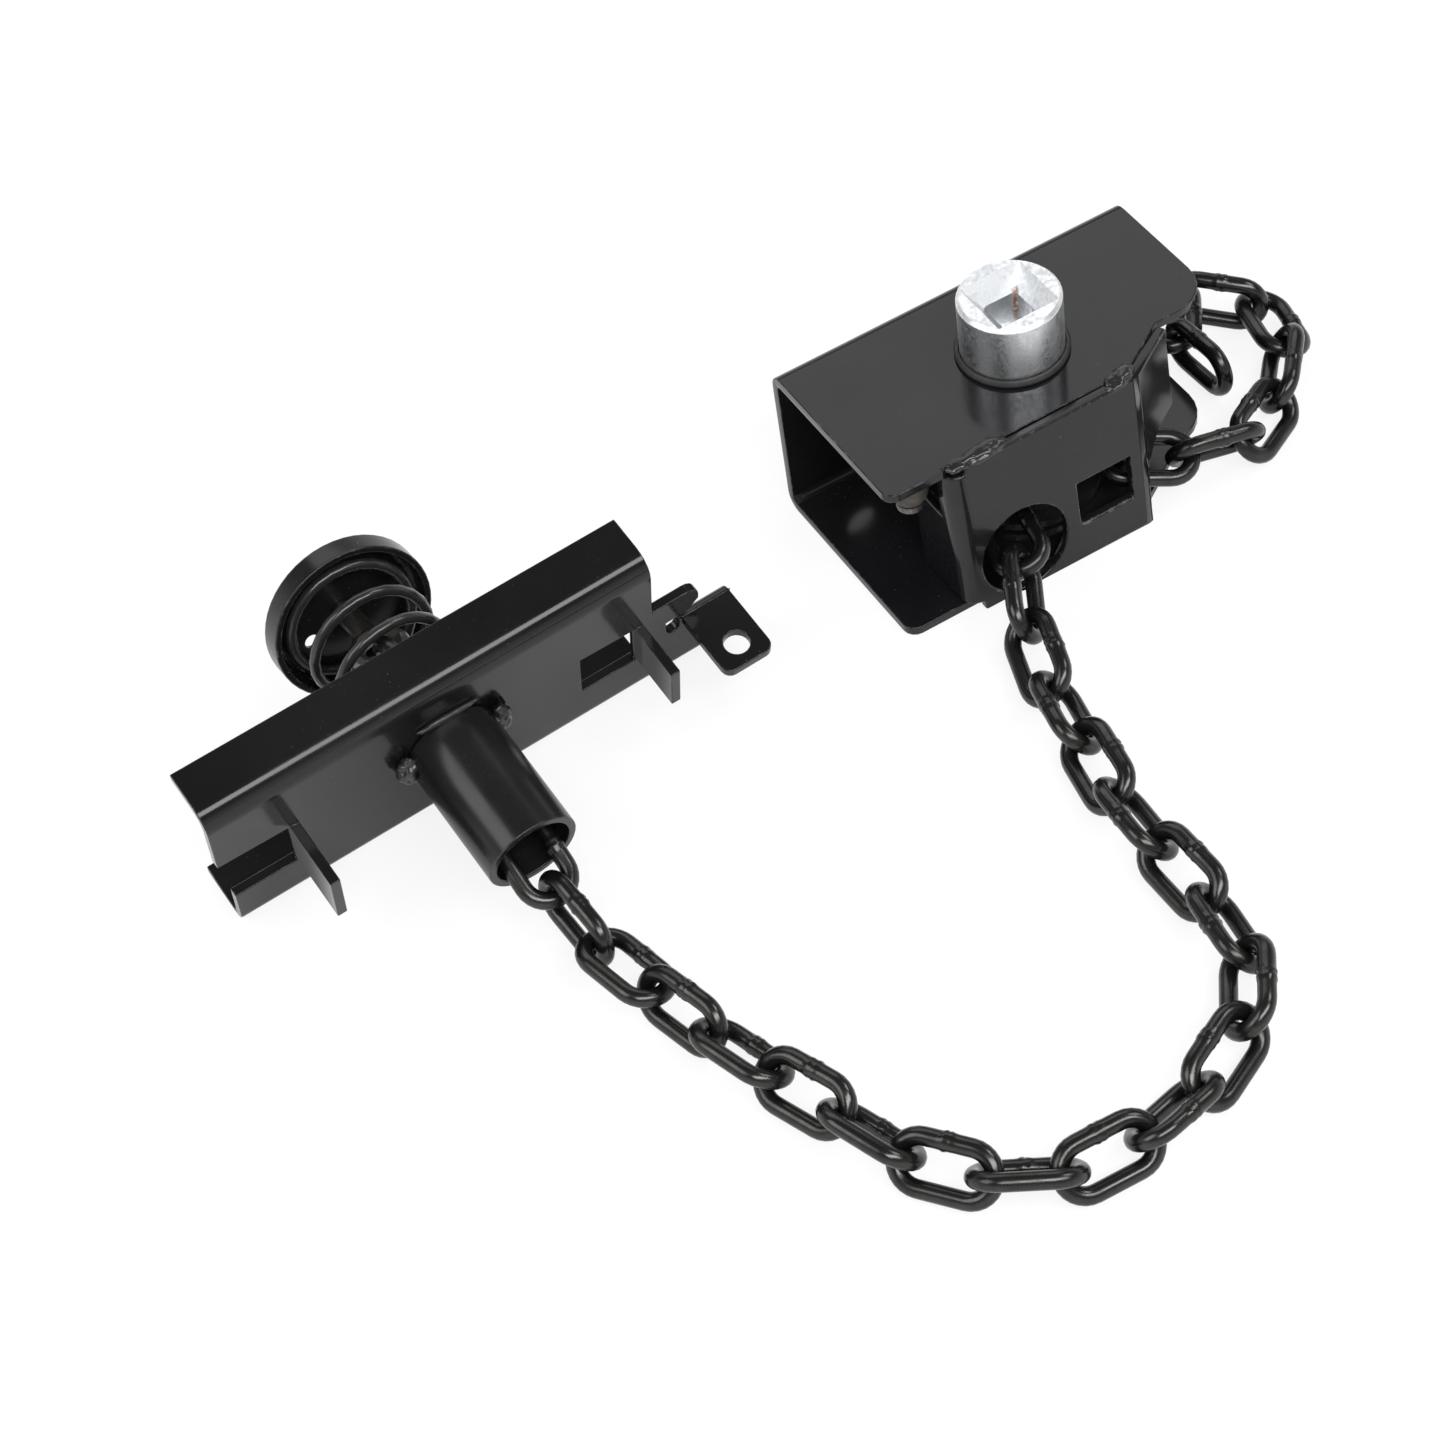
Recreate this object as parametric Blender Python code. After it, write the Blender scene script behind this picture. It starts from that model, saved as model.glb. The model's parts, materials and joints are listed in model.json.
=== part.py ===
# Spare-wheel chain hoist: a winch housing with a square drive socket, a short-link chain and a
# spring-loaded carrier bar that holds the wheel by its centre hole.
# Frame: X along the housing's long edge, Y towards its back wall, Z up.
# The origin is on the underside of the base, under the drive axis.

import math

import bmesh
import bpy
from mathutils import Matrix, Quaternion, Vector

MM = 0.001

# clearances
GAP = 0.3 * MM
RUN_GAP = 0.4 * MM
MERGE = 0.01 * MM

# chain
WIRE = 5.0 * MM
LINK_INNER_LENGTH = 21.3 * MM
LINK_INNER_WIDTH = 8.5 * MM
WIRE_STEPS = 2
BOW_STEPS = 6
BEND_STEPS = 5
TAIL_LINKS = 8
CARRIER_LINKS = 3
FLOOR_TWIST = math.radians(45.0)
TWIST_IN = 3
TWIST_OUT = 5
TAIL_TWIST = math.radians(36.0)
TAIL_TWIST_IN = 3
TAIL_LEVEL_AT = 6

# housing sheet
SHEET = 3.0 * MM
HOUSING_LEFT = 60.0 * MM
HOUSING_RIGHT = 58.5 * MM
HOUSING_BACK = 34.0 * MM
HOUSING_HEIGHT = 54.0 * MM
TOP_FRONT = 27.5 * MM
TOP_LIP = 1.3 * MM
BASE_FRONT = 33.6 * MM
BRACKET_BEND = 3.5 * MM
LEFT_CORNER = 4.0 * MM
RIGHT_CORNER = 13.0 * MM
RIGHT_SHOULDER = 16.2 * MM
BOLT_HOLE = 5.2 * MM
BOLT_SPACING = 76.0 * MM
BOLT_HEIGHT = 27.0 * MM

# front plate
PLATE_LEFT = 42.0 * MM
PLATE_RIGHT = 20.5 * MM
PLATE_BEND = 4.0 * MM
SIDE_FLANGE = 22.0 * MM
SIDE_NOTCH_DEPTH = 15.5 * MM
SIDE_NOTCH_HEIGHT = 17.0 * MM
EXIT_FLANGE = 21.0 * MM
EXIT_FLANGE_ANGLE = math.radians(32.5)
CHAIN_HOLE = 14.2 * MM
CHAIN_HOLE_DROP = 1.2 * MM
WINDOW_LEFT = -2.0 * MM
WINDOW_WIDTH = 18.0 * MM
WINDOW_LOW = 12.5 * MM
WINDOW_HEIGHT = 15.0 * MM
EXIT_HEIGHT = 26.0 * MM

# drive
CHAIN_LEVEL = 16.0 * MM
SOCKET_RADIUS = 15.0 * MM
SOCKET_HEIGHT = 20.0 * MM
SOCKET_CHAMFER = 1.0 * MM
SQUARE = 11.0 * MM
SQUARE_MOUTH = 20.0 * MM
SQUARE_DEPTH = 16.0 * MM
SQUARE_TAPER = 6.0 * MM
SHAFT_RADIUS = 7.0 * MM
JOURNAL_RADIUS = 5.0 * MM
SPIGOT_RADIUS = 6.0 * MM
SPIGOT_LENGTH = 3.0 * MM
BUSH_WALL = 2.4 * MM
BUSH_FLANGE = 3.3 * MM
BUSH_DEPTH = 4.0 * MM
SEAL_WIDTH = 1.3 * MM
SEAL_HEIGHT = 2.2 * MM
CLIP_THICK = 1.2 * MM
CLIP_WIDTH = 3.2 * MM
CLIP_DROP = 1.2 * MM
CLIP_MOUTH = 8.7 * MM

# reduction stage: a disc with eleven lobes rolls inside a ring with twelve round teeth
RING_TEETH = 12
TOOTH_CIRCLE = 20.0 * MM
TOOTH_RADIUS = 2.5 * MM
ECCENTRICITY = 1.2 * MM
LOBE_GAP = 0.35 * MM
LOBE_STEPS = 8
ECCENTRIC_RADIUS = 6.6 * MM
GEAR_THICK = 7.0 * MM
RING_WALL = 4.0 * MM
ANCHOR_PINS = 4
ANCHOR_CIRCLE = 11.4 * MM
ANCHOR_RADIUS = 1.6 * MM

# chain wheel
WHEEL_FLANGE = 2.4 * MM
WHEEL_RADIUS = 24.0 * MM

# rubber stop under the top plate
STOP_AT = (-47.5 * MM, -18.0 * MM)
STOP_RADIUS = 5.5 * MM
STOP_LENGTH = 13.0 * MM
STOP_RIVET = 2.0 * MM

# carrier: its own axes run along the bar, back from the web and up the web
CARRIER_ACROSS = 185.4 * MM
CARRIER_FRONT = 5.2 * MM
CARRIER_SINK = 1.0 * MM
CARRIER_YAW = math.radians(3.8)
CARRIER_LEAN = math.radians(12.5)
BAR_SHEET = 3.0 * MM
BAR_LEFT = 80.0 * MM
BAR_RIGHT = 58.5 * MM
BAR_HEIGHT = 61.4 * MM
TOP_FLANGE = 18.0 * MM
LOW_FLANGE = 19.5 * MM
TOP_BEND = 5.5 * MM
LOW_BEND = 3.5 * MM
STRIP_LEFT = 77.5 * MM
STRIP_RIGHT = 84.3 * MM
FOOT_LOW = 17.0 * MM
LEFT_FOOT_HIGH = 36.5 * MM
LEFT_FOOT_AT = 58.0 * MM
LEFT_FOOT_LENGTH = 21.0 * MM
RIGHT_FOOT_HIGH = 33.5 * MM
RIGHT_FOOT_AT = 52.5 * MM
RIGHT_FOOT_LENGTH = 18.0 * MM
LOCK_LEFT = 68.0 * MM
LOCK_LENGTH = 22.7 * MM
LOCK_LEVEL = 25.4 * MM
LOCK_CORNER = 3.0 * MM
LOCK_HOLE = 3.8 * MM
LOCK_HOLE_AT = 15.5 * MM
LUG_TIP = 74.0 * MM
LUG_HIGH = 36.5 * MM
LUG_LOW = 26.5 * MM
LUG_CORNER = 4.0 * MM
SLOT_WIDTH = 4.6 * MM
SLOT_LOW = 20.0 * MM
SLOT_OFFSET = 4.5 * MM

# guide tube, spring and dish
TUBE_ALONG = -8.0 * MM
TUBE_UP = 32.5 * MM
TUBE_RADIUS = 13.7 * MM
TUBE_WALL = 2.4 * MM
TUBE_LENGTH = 41.5 * MM
CHAIN_END_IN_TUBE = 11.0 * MM
TUBE_BEAD = 2.6 * MM
DISH_RADIUS = 24.5 * MM
DISH_DEPTH = 9.0 * MM
DISH_WALL = 2.0 * MM
DISH_CORNER = 3.6 * MM
DISH_TILT = math.radians(18.0)
DRAIN_HOLE = 2.2 * MM
DRAIN_AT = 12.5 * MM
DRAIN_TURN = math.radians(25.0)
EYE_REACH = 31.0 * MM
SHANK_RADIUS = 3.5 * MM
HEAD_RADIUS = 7.0 * MM
HEAD_THICK = 2.5 * MM
SPRING_WIRE = 3.3 * MM
SPRING_SMALL = 15.5 * MM
SPRING_LARGE = 18.6 * MM
SPRING_TURNS = 4.25
SPRING_STEPS = 9
SPRING_END_TURN = 0.7
SPRING_END_PITCH = 4.6 * MM

# chain routes over the floor: the main run's points are shares of the carrier's distance and of
# the loop's reach with a height, the tail's are places
LOOP_REACH = 210.5 * MM
MAIN_ROUTE = (
    (-0.1402, -0.2019, 15.2),
    (-0.1942, -0.2874, 10.8),
    (-0.2319, -0.3919, 7.8),
    (-0.2562, -0.5036, 8.8),
    (-0.2697, -0.6105, 8.8),
    (-0.2670, -0.7126, 8.8),
    (-0.2697, -0.8171, 8.8),
    (-0.3074, -0.9074, 8.8),
    (-0.3883, -0.9572, 8.8),
    (-0.4881, -0.9857, 8.8),
    (-0.5879, -1.0000, 8.8),
    (-0.6850, -0.9857, 8.8),
    (-0.7740, -0.9382, 8.8),
    (-0.8360, -0.8670, 8.8),
    (-0.8792, -0.7743, 8.8),
    (-0.9169, -0.6841, 8.8),
    (-0.9520, -0.5891, 8.8),
    (-0.9817, -0.4941, 8.8),
    (-1.0113, -0.3919, 8.8),
    (-1.0248, -0.2874, 13.0),
)
LOOP_FROM = 0.285
TAIL_ROUTE = (
    (40.5, -29.3, 13.0),
    (58.5, -34.0, 9.6),
    (75.5, -24.0, 9.2),
    (90.0, -9.0, 9.2),
    (95.0, 11.0, 9.2),
    (81.5, 26.5, 9.8),
    (67.0, 14.0, 10.4),
    (64.0, -7.0, 10.9),
    (66.0, -20.0, 10.9),
)

# worked out from the sizes above
WIRE_RADIUS = WIRE / 2
BOW_RADIUS = (LINK_INNER_WIDTH + WIRE) / 2
LINK_TIP = (LINK_INNER_LENGTH + WIRE) / 2
BOW_AT = LINK_TIP - BOW_RADIUS
WIRE_STEP = WIRE + GAP
PITCH = 2 * LINK_TIP - WIRE_STEP
LINK_SIDE = BOW_RADIUS + WIRE_RADIUS
FRONT_LEAN = (BASE_FRONT - TOP_FRONT) / HOUSING_HEIGHT
WHEEL_LOW = CHAIN_LEVEL - LINK_SIDE - RUN_GAP
WHEEL_HIGH = CHAIN_LEVEL + LINK_SIDE + RUN_GAP
RING_LOW = WHEEL_HIGH + WHEEL_FLANGE + GAP
GEAR_LOW = RING_LOW + RUN_GAP
GEAR_HIGH = GEAR_LOW + GEAR_THICK
SOCKET_LOW = HOUSING_HEIGHT + GAP * 2
SOCKET_TOP = SOCKET_LOW + SOCKET_HEIGHT
UNDER_TOP = HOUSING_HEIGHT - SHEET

UP = Vector((0, 0, 1))


def clear_scene():
    for old in list(bpy.data.objects):
        bpy.data.objects.remove(old, do_unlink=True)


def new_collection(name):
    group = bpy.data.collections.new(name)
    bpy.context.scene.collection.children.link(group)
    return group


clear_scene()
PARTS = new_collection("chain_hoist")
CUTTERS = new_collection("chain_hoist_cutters")


def make_material(name, colour, roughness, metallic):
    material = bpy.data.materials.new(name)
    material.use_nodes = True
    shader = material.node_tree.nodes["Principled BSDF"]
    shader.inputs["Base Color"].default_value = (*colour, 1.0)
    shader.inputs["Roughness"].default_value = roughness
    shader.inputs["Metallic"].default_value = metallic
    return material


BLACK_PAINT = (0.012, 0.012, 0.013)
CHAIN_STEEL = (0.035, 0.032, 0.029)
BARE_STEEL = (0.30, 0.30, 0.29)
ZINC = (0.55, 0.55, 0.56)
BRONZE = (0.33, 0.22, 0.10)
RUBBER = (0.03, 0.025, 0.02)


def paint(name, colour=BLACK_PAINT, roughness=0.3, metallic=0.0):
    return make_material(name + "_finish", colour, roughness, metallic)


def add_object(name, mesh, material, smooth_angle=40.0):
    piece = bpy.data.objects.new(name, mesh)
    if not mesh.materials:
        mesh.materials.append(material)
    mesh.shade_smooth()
    mesh.set_sharp_from_angle(angle=math.radians(smooth_angle))
    PARTS.objects.link(piece)
    return piece


def add_cutter(name, mesh):
    cutter = bpy.data.objects.new(name, mesh)
    cutter.hide_render = True
    cutter.display_type = "WIRE"
    CUTTERS.objects.link(cutter)
    return cutter


def boolean(piece, cutter, operation="DIFFERENCE"):
    step = piece.modifiers.new(cutter.name, "BOOLEAN")
    step.operation = operation
    step.solver = "EXACT"
    step.object = cutter


def settle(piece):
    # keeps the piece's evaluated mesh, with its seams merged and its faces pointing out
    bpy.context.view_layer.update()
    graph = bpy.context.evaluated_depsgraph_get()
    mesh = bpy.data.meshes.new_from_object(piece.evaluated_get(graph), depsgraph=graph)
    shape = bmesh.new()
    shape.from_mesh(mesh)
    bmesh.ops.remove_doubles(shape, verts=shape.verts, dist=MERGE)
    bmesh.ops.recalc_face_normals(shape, faces=shape.faces)
    shape.to_mesh(mesh)
    shape.free()
    return mesh


def mesh_from_curve(curve):
    holder = bpy.data.objects.new(curve.name, curve)
    CUTTERS.objects.link(holder)
    mesh = settle(holder)
    bpy.data.objects.remove(holder, do_unlink=True)
    return mesh


def prism(name, outline, low, high, frame=Matrix()):
    # a flat outline in the frame's own XY, standing from low to high along its Z
    curve = bpy.data.curves.new(name, "CURVE")
    curve.dimensions = "2D"
    curve.fill_mode = "BOTH"
    curve.extrude = (high - low) / 2
    spline = curve.splines.new("POLY")
    spline.points.add(len(outline) - 1)
    for point, (x, y) in zip(spline.points, outline):
        point.co = (x, y, 0, 1)
    spline.use_cyclic_u = True
    mesh = mesh_from_curve(curve)
    mesh.transform(frame @ Matrix.Translation((0, 0, (low + high) / 2)))
    return mesh


def tube_mesh(name, points, radius, level, closed=False):
    curve = bpy.data.curves.new(name, "CURVE")
    curve.dimensions = "3D"
    curve.bevel_depth = radius
    curve.bevel_resolution = round(level)
    curve.use_fill_caps = True
    spline = curve.splines.new("POLY")
    spline.points.add(len(points) - 1)
    for point, place in zip(spline.points, points):
        point.co = (*place, 1)
    spline.use_cyclic_u = closed
    return mesh_from_curve(curve)


def turned(name, profile, sides=40, frame=Matrix()):
    # a closed profile of (radius, height) turned about the frame's Z
    mesh = bpy.data.meshes.new(name)
    shape = bmesh.new()
    ring = [shape.verts.new((radius, 0, height)) for radius, height in profile]
    edges = [shape.edges.new((a, b)) for a, b in zip(ring, ring[1:] + ring[:1])]
    bmesh.ops.spin(
        shape, geom=ring + edges, cent=(0, 0, 0), axis=(0, 0, 1), angle=math.tau,
        steps=sides, use_merge=True,
    )
    bmesh.ops.remove_doubles(shape, verts=shape.verts, dist=MERGE)
    bmesh.ops.recalc_face_normals(shape, faces=shape.faces)
    shape.to_mesh(mesh)
    shape.free()
    mesh.transform(frame)
    return mesh


def cylinder(name, radius, low, high, frame=Matrix(), sides=32):
    mesh = bpy.data.meshes.new(name)
    shape = bmesh.new()
    bmesh.ops.create_cone(
        shape, cap_ends=True, segments=sides, radius1=radius, radius2=radius, depth=high - low,
        matrix=Matrix.Translation((0, 0, (low + high) / 2)),
    )
    shape.to_mesh(mesh)
    shape.free()
    mesh.transform(frame)
    return mesh


def block(name, low, high, frame=Matrix()):
    size = Vector(high) - Vector(low)
    middle = (Vector(high) + Vector(low)) / 2
    mesh = bpy.data.meshes.new(name)
    shape = bmesh.new()
    bmesh.ops.create_cube(shape, size=1.0, matrix=Matrix.Translation(middle) @ Matrix.Diagonal((*size, 1)))
    shape.to_mesh(mesh)
    shape.free()
    mesh.transform(frame)
    return mesh


def joined(name, meshes):
    # several separate solids in one mesh
    mesh = bpy.data.meshes.new(name)
    shape = bmesh.new()
    for source in meshes:
        shape.from_mesh(source)
    shape.to_mesh(mesh)
    shape.free()
    return mesh


def arc(centre, radius, start, end, steps):
    turn = [start + (end - start) * i / steps for i in range(steps + 1)]
    return [(centre[0] + radius * math.cos(a), centre[1] + radius * math.sin(a)) for a in turn]


def bent_path(corners, radii, steps=BEND_STEPS):
    # a path of straight runs whose inner corners are rounded to the given radii
    path = [Vector(corners[0])]
    for before, corner, after, radius in zip(corners, corners[1:], corners[2:], radii):
        corner = Vector(corner)
        back = (Vector(before) - corner).normalized()
        ahead = (Vector(after) - corner).normalized()
        half = back.angle(ahead) / 2
        centre = corner + (back + ahead).normalized() * radius / math.sin(half)
        first = corner + back * radius / math.tan(half) - centre
        sweep = first.angle_signed(corner + ahead * radius / math.tan(half) - centre)
        for i in range(steps + 1):
            path.append(centre + Matrix.Rotation(-sweep * i / steps, 2) @ first)
    path.append(Vector(corners[-1]))
    return path


def strip_outline(path, thickness):
    # the outline of a sheet of this thickness whose middle follows the path
    left, right = [], []
    for i, point in enumerate(path):
        run = path[min(i + 1, len(path) - 1)] - path[max(i - 1, 0)]
        side = Vector((-run.y, run.x)).normalized() * thickness / 2
        left.append(tuple(point + side))
        right.append(tuple(point - side))
    return left + right[::-1]


def frame_of(x_axis, y_axis, z_axis, origin=(0, 0, 0)):
    frame = Matrix((x_axis, y_axis, z_axis)).transposed().to_4x4()
    frame.translation = origin
    return frame


SIDEWAYS = frame_of((0, 1, 0), (0, 0, 1), (1, 0, 0))
FRONTWAYS = frame_of((1, 0, 0), (0, 0, 1), (0, -1, 0))
CARRIER = (
    Matrix.Translation((-CARRIER_ACROSS, -CARRIER_FRONT, -CARRIER_SINK))
    @ Matrix.Rotation(CARRIER_YAW, 4, "Z")
    @ Matrix.Rotation(CARRIER_LEAN, 4, "X")
)
TUBE = CARRIER @ frame_of((1, 0, 0), (0, 0, 1), (0, -1, 0), (TUBE_ALONG, 0, TUBE_UP))


# chain links

def link_mesh():
    path = arc((BOW_AT, 0), BOW_RADIUS, -math.pi / 2, math.pi / 2, BOW_STEPS)
    path += arc((-BOW_AT, 0), BOW_RADIUS, math.pi / 2, 3 * math.pi / 2, BOW_STEPS)
    return tube_mesh("link", [(x, y, 0) for x, y in path], WIRE_RADIUS, WIRE_STEPS, closed=True)


LINK = link_mesh()
LINK.materials.append(paint("chain", CHAIN_STEEL, 0.35, 0.85))


class Link:
    # a link's centre, the way it runs and the way its width lies
    def __init__(self, centre, run, side):
        self.centre = centre
        self.run = run
        self.side = side

    def reach(self):
        return self.centre + self.run * PITCH / 2

    def normal(self):
        return self.run.cross(self.side)

    def matrix(self):
        return frame_of(self.run, self.side, self.run.cross(self.side), self.centre)


class Contact:
    # where two bows hook into each other: each wire's centre, and the way each wire runs there
    def __init__(self, first, second):
        pull = (first.run + second.run).normalized()
        out = [pull - link.normal() * pull.dot(link.normal()) for link in (first, second)]
        out = [direction.normalized() for direction in out]
        self.step = out[0] * BOW_RADIUS - pull * WIRE_STEP + out[1] * BOW_RADIUS
        self.first = first.centre + first.run * BOW_AT + out[0] * BOW_RADIUS
        self.second = self.first - pull * WIRE_STEP
        self.first_axis = first.normal().cross(out[0])
        self.second_axis = second.normal().cross(out[1])


def next_link(last, run, twist=0.0):
    # the next bow hooks into the last one, its wire one wire and a gap away along the pull;
    # its width lies square to the last link's, turned on by the twist
    across = last.run.rotation_difference(run) @ last.normal()
    link = Link(last.centre, run, Quaternion(run, twist) @ across)
    step = Contact(last, link).step
    link.centre = last.centre + last.run * BOW_AT + step + run * BOW_AT
    return link


def smooth_route(points, steps=24):
    # a Catmull-Rom curve through the points
    ends = [points[0] * 2 - points[1]] + list(points) + [points[-1] * 2 - points[-2]]
    route = []
    for a, b, c, d in zip(ends, ends[1:], ends[2:], ends[3:]):
        for i in range(steps):
            t = i / steps
            square = a * 2 - b * 5 + c * 4 - d
            cube = b * 3 - a - c * 3 + d
            route.append((b * 2 + (c - a) * t + square * t ** 2 + cube * t ** 3) / 2)
    return route + [points[-1]]


def lay_chain(first, route, count, twists):
    # each link runs from the last tip to the place one pitch further along the route
    links = []
    last = first
    at = 0
    for number in range(count):
        start = last.reach()
        while at < len(route) - 1 and (route[at] - start).length < PITCH:
            at += 1
        near, far = route[max(at - 1, 0)], route[at]
        reach = (far - start).length - (near - start).length
        share = (PITCH - (near - start).length) / reach if reach > MERGE else 1.0
        run = (near.lerp(far, share) - start).normalized()
        last = next_link(last, run, twists(number))
        links.append(last)
    return links


def tail_route():
    return smooth_route([EXIT.reach()] + [Vector(place) * MM for place in TAIL_ROUTE])


def main_route(stretch, end):
    # the loop beyond its straight start reaches further by the stretch
    placed = []
    for across, reach, height in MAIN_ROUTE:
        if -reach > LOOP_FROM:
            reach = -LOOP_FROM + (reach + LOOP_FROM) * stretch
        placed.append(Vector((across * CARRIER_ACROSS, reach * LOOP_REACH, height * MM)))
    return smooth_route([ENTRY.reach()] + placed + end)


def wheel_links():
    # the chain comes in flat to the wheel's left, lies on its back half and leaves at its right
    top = Link(Vector((0, PITCH * math.sqrt(3) / 2, CHAIN_LEVEL)), Vector((1, 0, 0)), UP)
    right = [top]
    for heading in (-math.pi / 3, -math.pi / 2):
        run = Vector((math.cos(heading), math.sin(heading), 0))
        right.append(next_link(right[-1], run))
    left = []
    for link in right[1:]:
        centre = Vector((-link.centre.x, link.centre.y, link.centre.z))
        run = Vector((-link.run.x, link.run.y, link.run.z))
        left.append(Link(centre, run, Vector((-link.side.x, link.side.y, link.side.z))))
    return left[::-1] + right


WRAPPED = wheel_links()
ENTRY, EXIT = WRAPPED[0], WRAPPED[-1]
CHAIN_LINE = EXIT.centre.x


def main_twist(number, count):
    # flat and upright at the wheel, turned by an eighth on the floor, and level again at the tube
    if number < TWIST_IN:
        return FLOOR_TWIST / TWIST_IN
    if number >= count - TWIST_OUT:
        return -FLOOR_TWIST / TWIST_OUT
    return 0.0


def tail_twist(number):
    if number < TAIL_TWIST_IN:
        return TAIL_TWIST / TAIL_TWIST_IN
    if TAIL_LEVEL_AT - TAIL_TWIST_IN <= number < TAIL_LEVEL_AT:
        return -TAIL_TWIST / TAIL_TWIST_IN
    return 0.0


def main_chain():
    # as many links as the route has room for; the loop's reach is found so that the last one ends at
    # its place inside the tube, and the end is shifted so that the links behind lie on the tube's axis
    axis = TUBE.to_3x3() @ UP
    wanted = TUBE_LENGTH - CHAIN_END_IN_TUBE
    shift = Vector()
    count = 0
    for attempt in range(4):
        end = [TUBE @ Vector((0, 0, wanted + step * PITCH)) + shift for step in (0.0, -0.5, -1.5)]
        if not count:
            route = main_route(1.0, end[:1])
            count = round(sum((a - b).length for a, b in zip(route, route[1:])) / PITCH)
        low, high = 0.8, 1.3
        for halving in range(24):
            stretch = (low + high) / 2
            links = lay_chain(
                ENTRY, main_route(stretch, end), count, lambda number: main_twist(number, count)
            )
            depth = (links[-1].reach() - TUBE.translation).dot(axis)
            if depth > wanted:
                high = stretch
            else:
                low = stretch
        off = carrier_chain(links[-1])[0].centre - TUBE.translation
        shift -= off - axis * off.dot(axis)
    print(count, "links, loop reach x", round(stretch, 4), "ends", round(depth / MM, 2), "mm from the web")
    return links


def add_pivot(name, place, axis):
    # an empty on a joint, whose Z is the joint's axis
    pivot = bpy.data.objects.new(name + "_pivot", None)
    pivot.empty_display_size = WIRE
    pivot.matrix_world = Matrix.Translation(place) @ UP.rotation_difference(axis).to_matrix().to_4x4()
    PARTS.objects.link(pivot)
    return pivot


def hang(piece, pivot, matrix):
    piece.parent = pivot
    piece.matrix_basis = pivot.matrix_basis.inverted() @ matrix


def show_links(name, links, joints):
    # one object for each link, hung on an empty at its joint
    for number, (link, (place, axis)) in enumerate(zip(links, joints), 1):
        piece = bpy.data.objects.new(f"{name}_{number:02d}", LINK)
        PARTS.objects.link(piece)
        hang(piece, add_pivot(piece.name, place, axis), link.matrix())


def fixed_links(name, links, pivot=None):
    for number, link in enumerate(links, 1):
        piece = bpy.data.objects.new(f"{name}_{number}", LINK)
        PARTS.objects.link(piece)
        if pivot:
            hang(piece, pivot, link.matrix())
        else:
            piece.matrix_world = link.matrix()


def ring_eye(name, link_like, reach, material, pivot):
    # a wire ring on a shank: the ring stands where the next link's bow would, the head ends the shank
    ring_at = BOW_RADIUS - LINK_TIP
    ring = arc((ring_at, 0), BOW_RADIUS, 0, math.tau, 2 * BOW_STEPS)[:-1]
    mesh = tube_mesh(name, [(x, y, 0) for x, y in ring], WIRE_RADIUS, WIRE_STEPS, closed=True)
    eye = add_object(name, mesh, material)
    start = ring_at + BOW_RADIUS
    along = frame_of((0, 0, -1), (0, 1, 0), (1, 0, 0))
    end = reach - LINK_TIP
    shank = add_cutter(name + "_shank", cylinder(name + "_shank", SHANK_RADIUS, start, end, along, 16))
    head = cylinder(name + "_head", HEAD_RADIUS, end - MERGE, end + HEAD_THICK, along, 24)
    head = add_cutter(name + "_head", head)
    boolean(eye, shank, "UNION")
    boolean(eye, head, "UNION")
    for piece in (eye, shank, head):
        hang(piece, pivot, link_like.matrix())


# housing

def build_bracket():
    path = bent_path(
        (
            (-TOP_FRONT - TOP_LIP, HOUSING_HEIGHT - SHEET / 2),
            (HOUSING_BACK - SHEET / 2, HOUSING_HEIGHT - SHEET / 2),
            (HOUSING_BACK - SHEET / 2, SHEET / 2),
            (-BASE_FRONT, SHEET / 2),
        ),
        (BRACKET_BEND, BRACKET_BEND),
    )
    mesh = prism("bracket", strip_outline(path, SHEET), -HOUSING_LEFT, HOUSING_RIGHT, SIDEWAYS)
    bracket = add_object("bracket", mesh, paint("bracket"))
    far = HOUSING_LEFT + HOUSING_RIGHT
    boolean(bracket, add_cutter("top_edge", prism("top_edge", front_trim(TOP_FRONT, TOP_LIP, far),
                                                  UNDER_TOP - SHEET, HOUSING_HEIGHT + SHEET)))
    base_front = BASE_FRONT - FRONT_LEAN * SHEET
    boolean(bracket, add_cutter("base_edge", prism("base_edge", front_trim(base_front, 0.0, far),
                                                   -SHEET, 2 * SHEET)))
    holes = [
        cylinder("shaft_hole", SHAFT_RADIUS + BUSH_WALL + GAP, UNDER_TOP - SHEET, HOUSING_HEIGHT + SHEET),
        cylinder("bush_hole", JOURNAL_RADIUS + RUN_GAP + BUSH_WALL + GAP, -SHEET, 2 * SHEET),
    ]
    for side in (-1, 1):
        place = Matrix.Translation((side * BOLT_SPACING / 2, 0, BOLT_HEIGHT)) @ FRONTWAYS
        holes.append(cylinder(
            "bolt_hole", BOLT_HOLE, -HOUSING_BACK - SHEET, -HOUSING_BACK + 2 * SHEET, place,
        ))
    boolean(bracket, add_cutter("bracket_holes", joined("bracket_holes", holes)))


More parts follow.
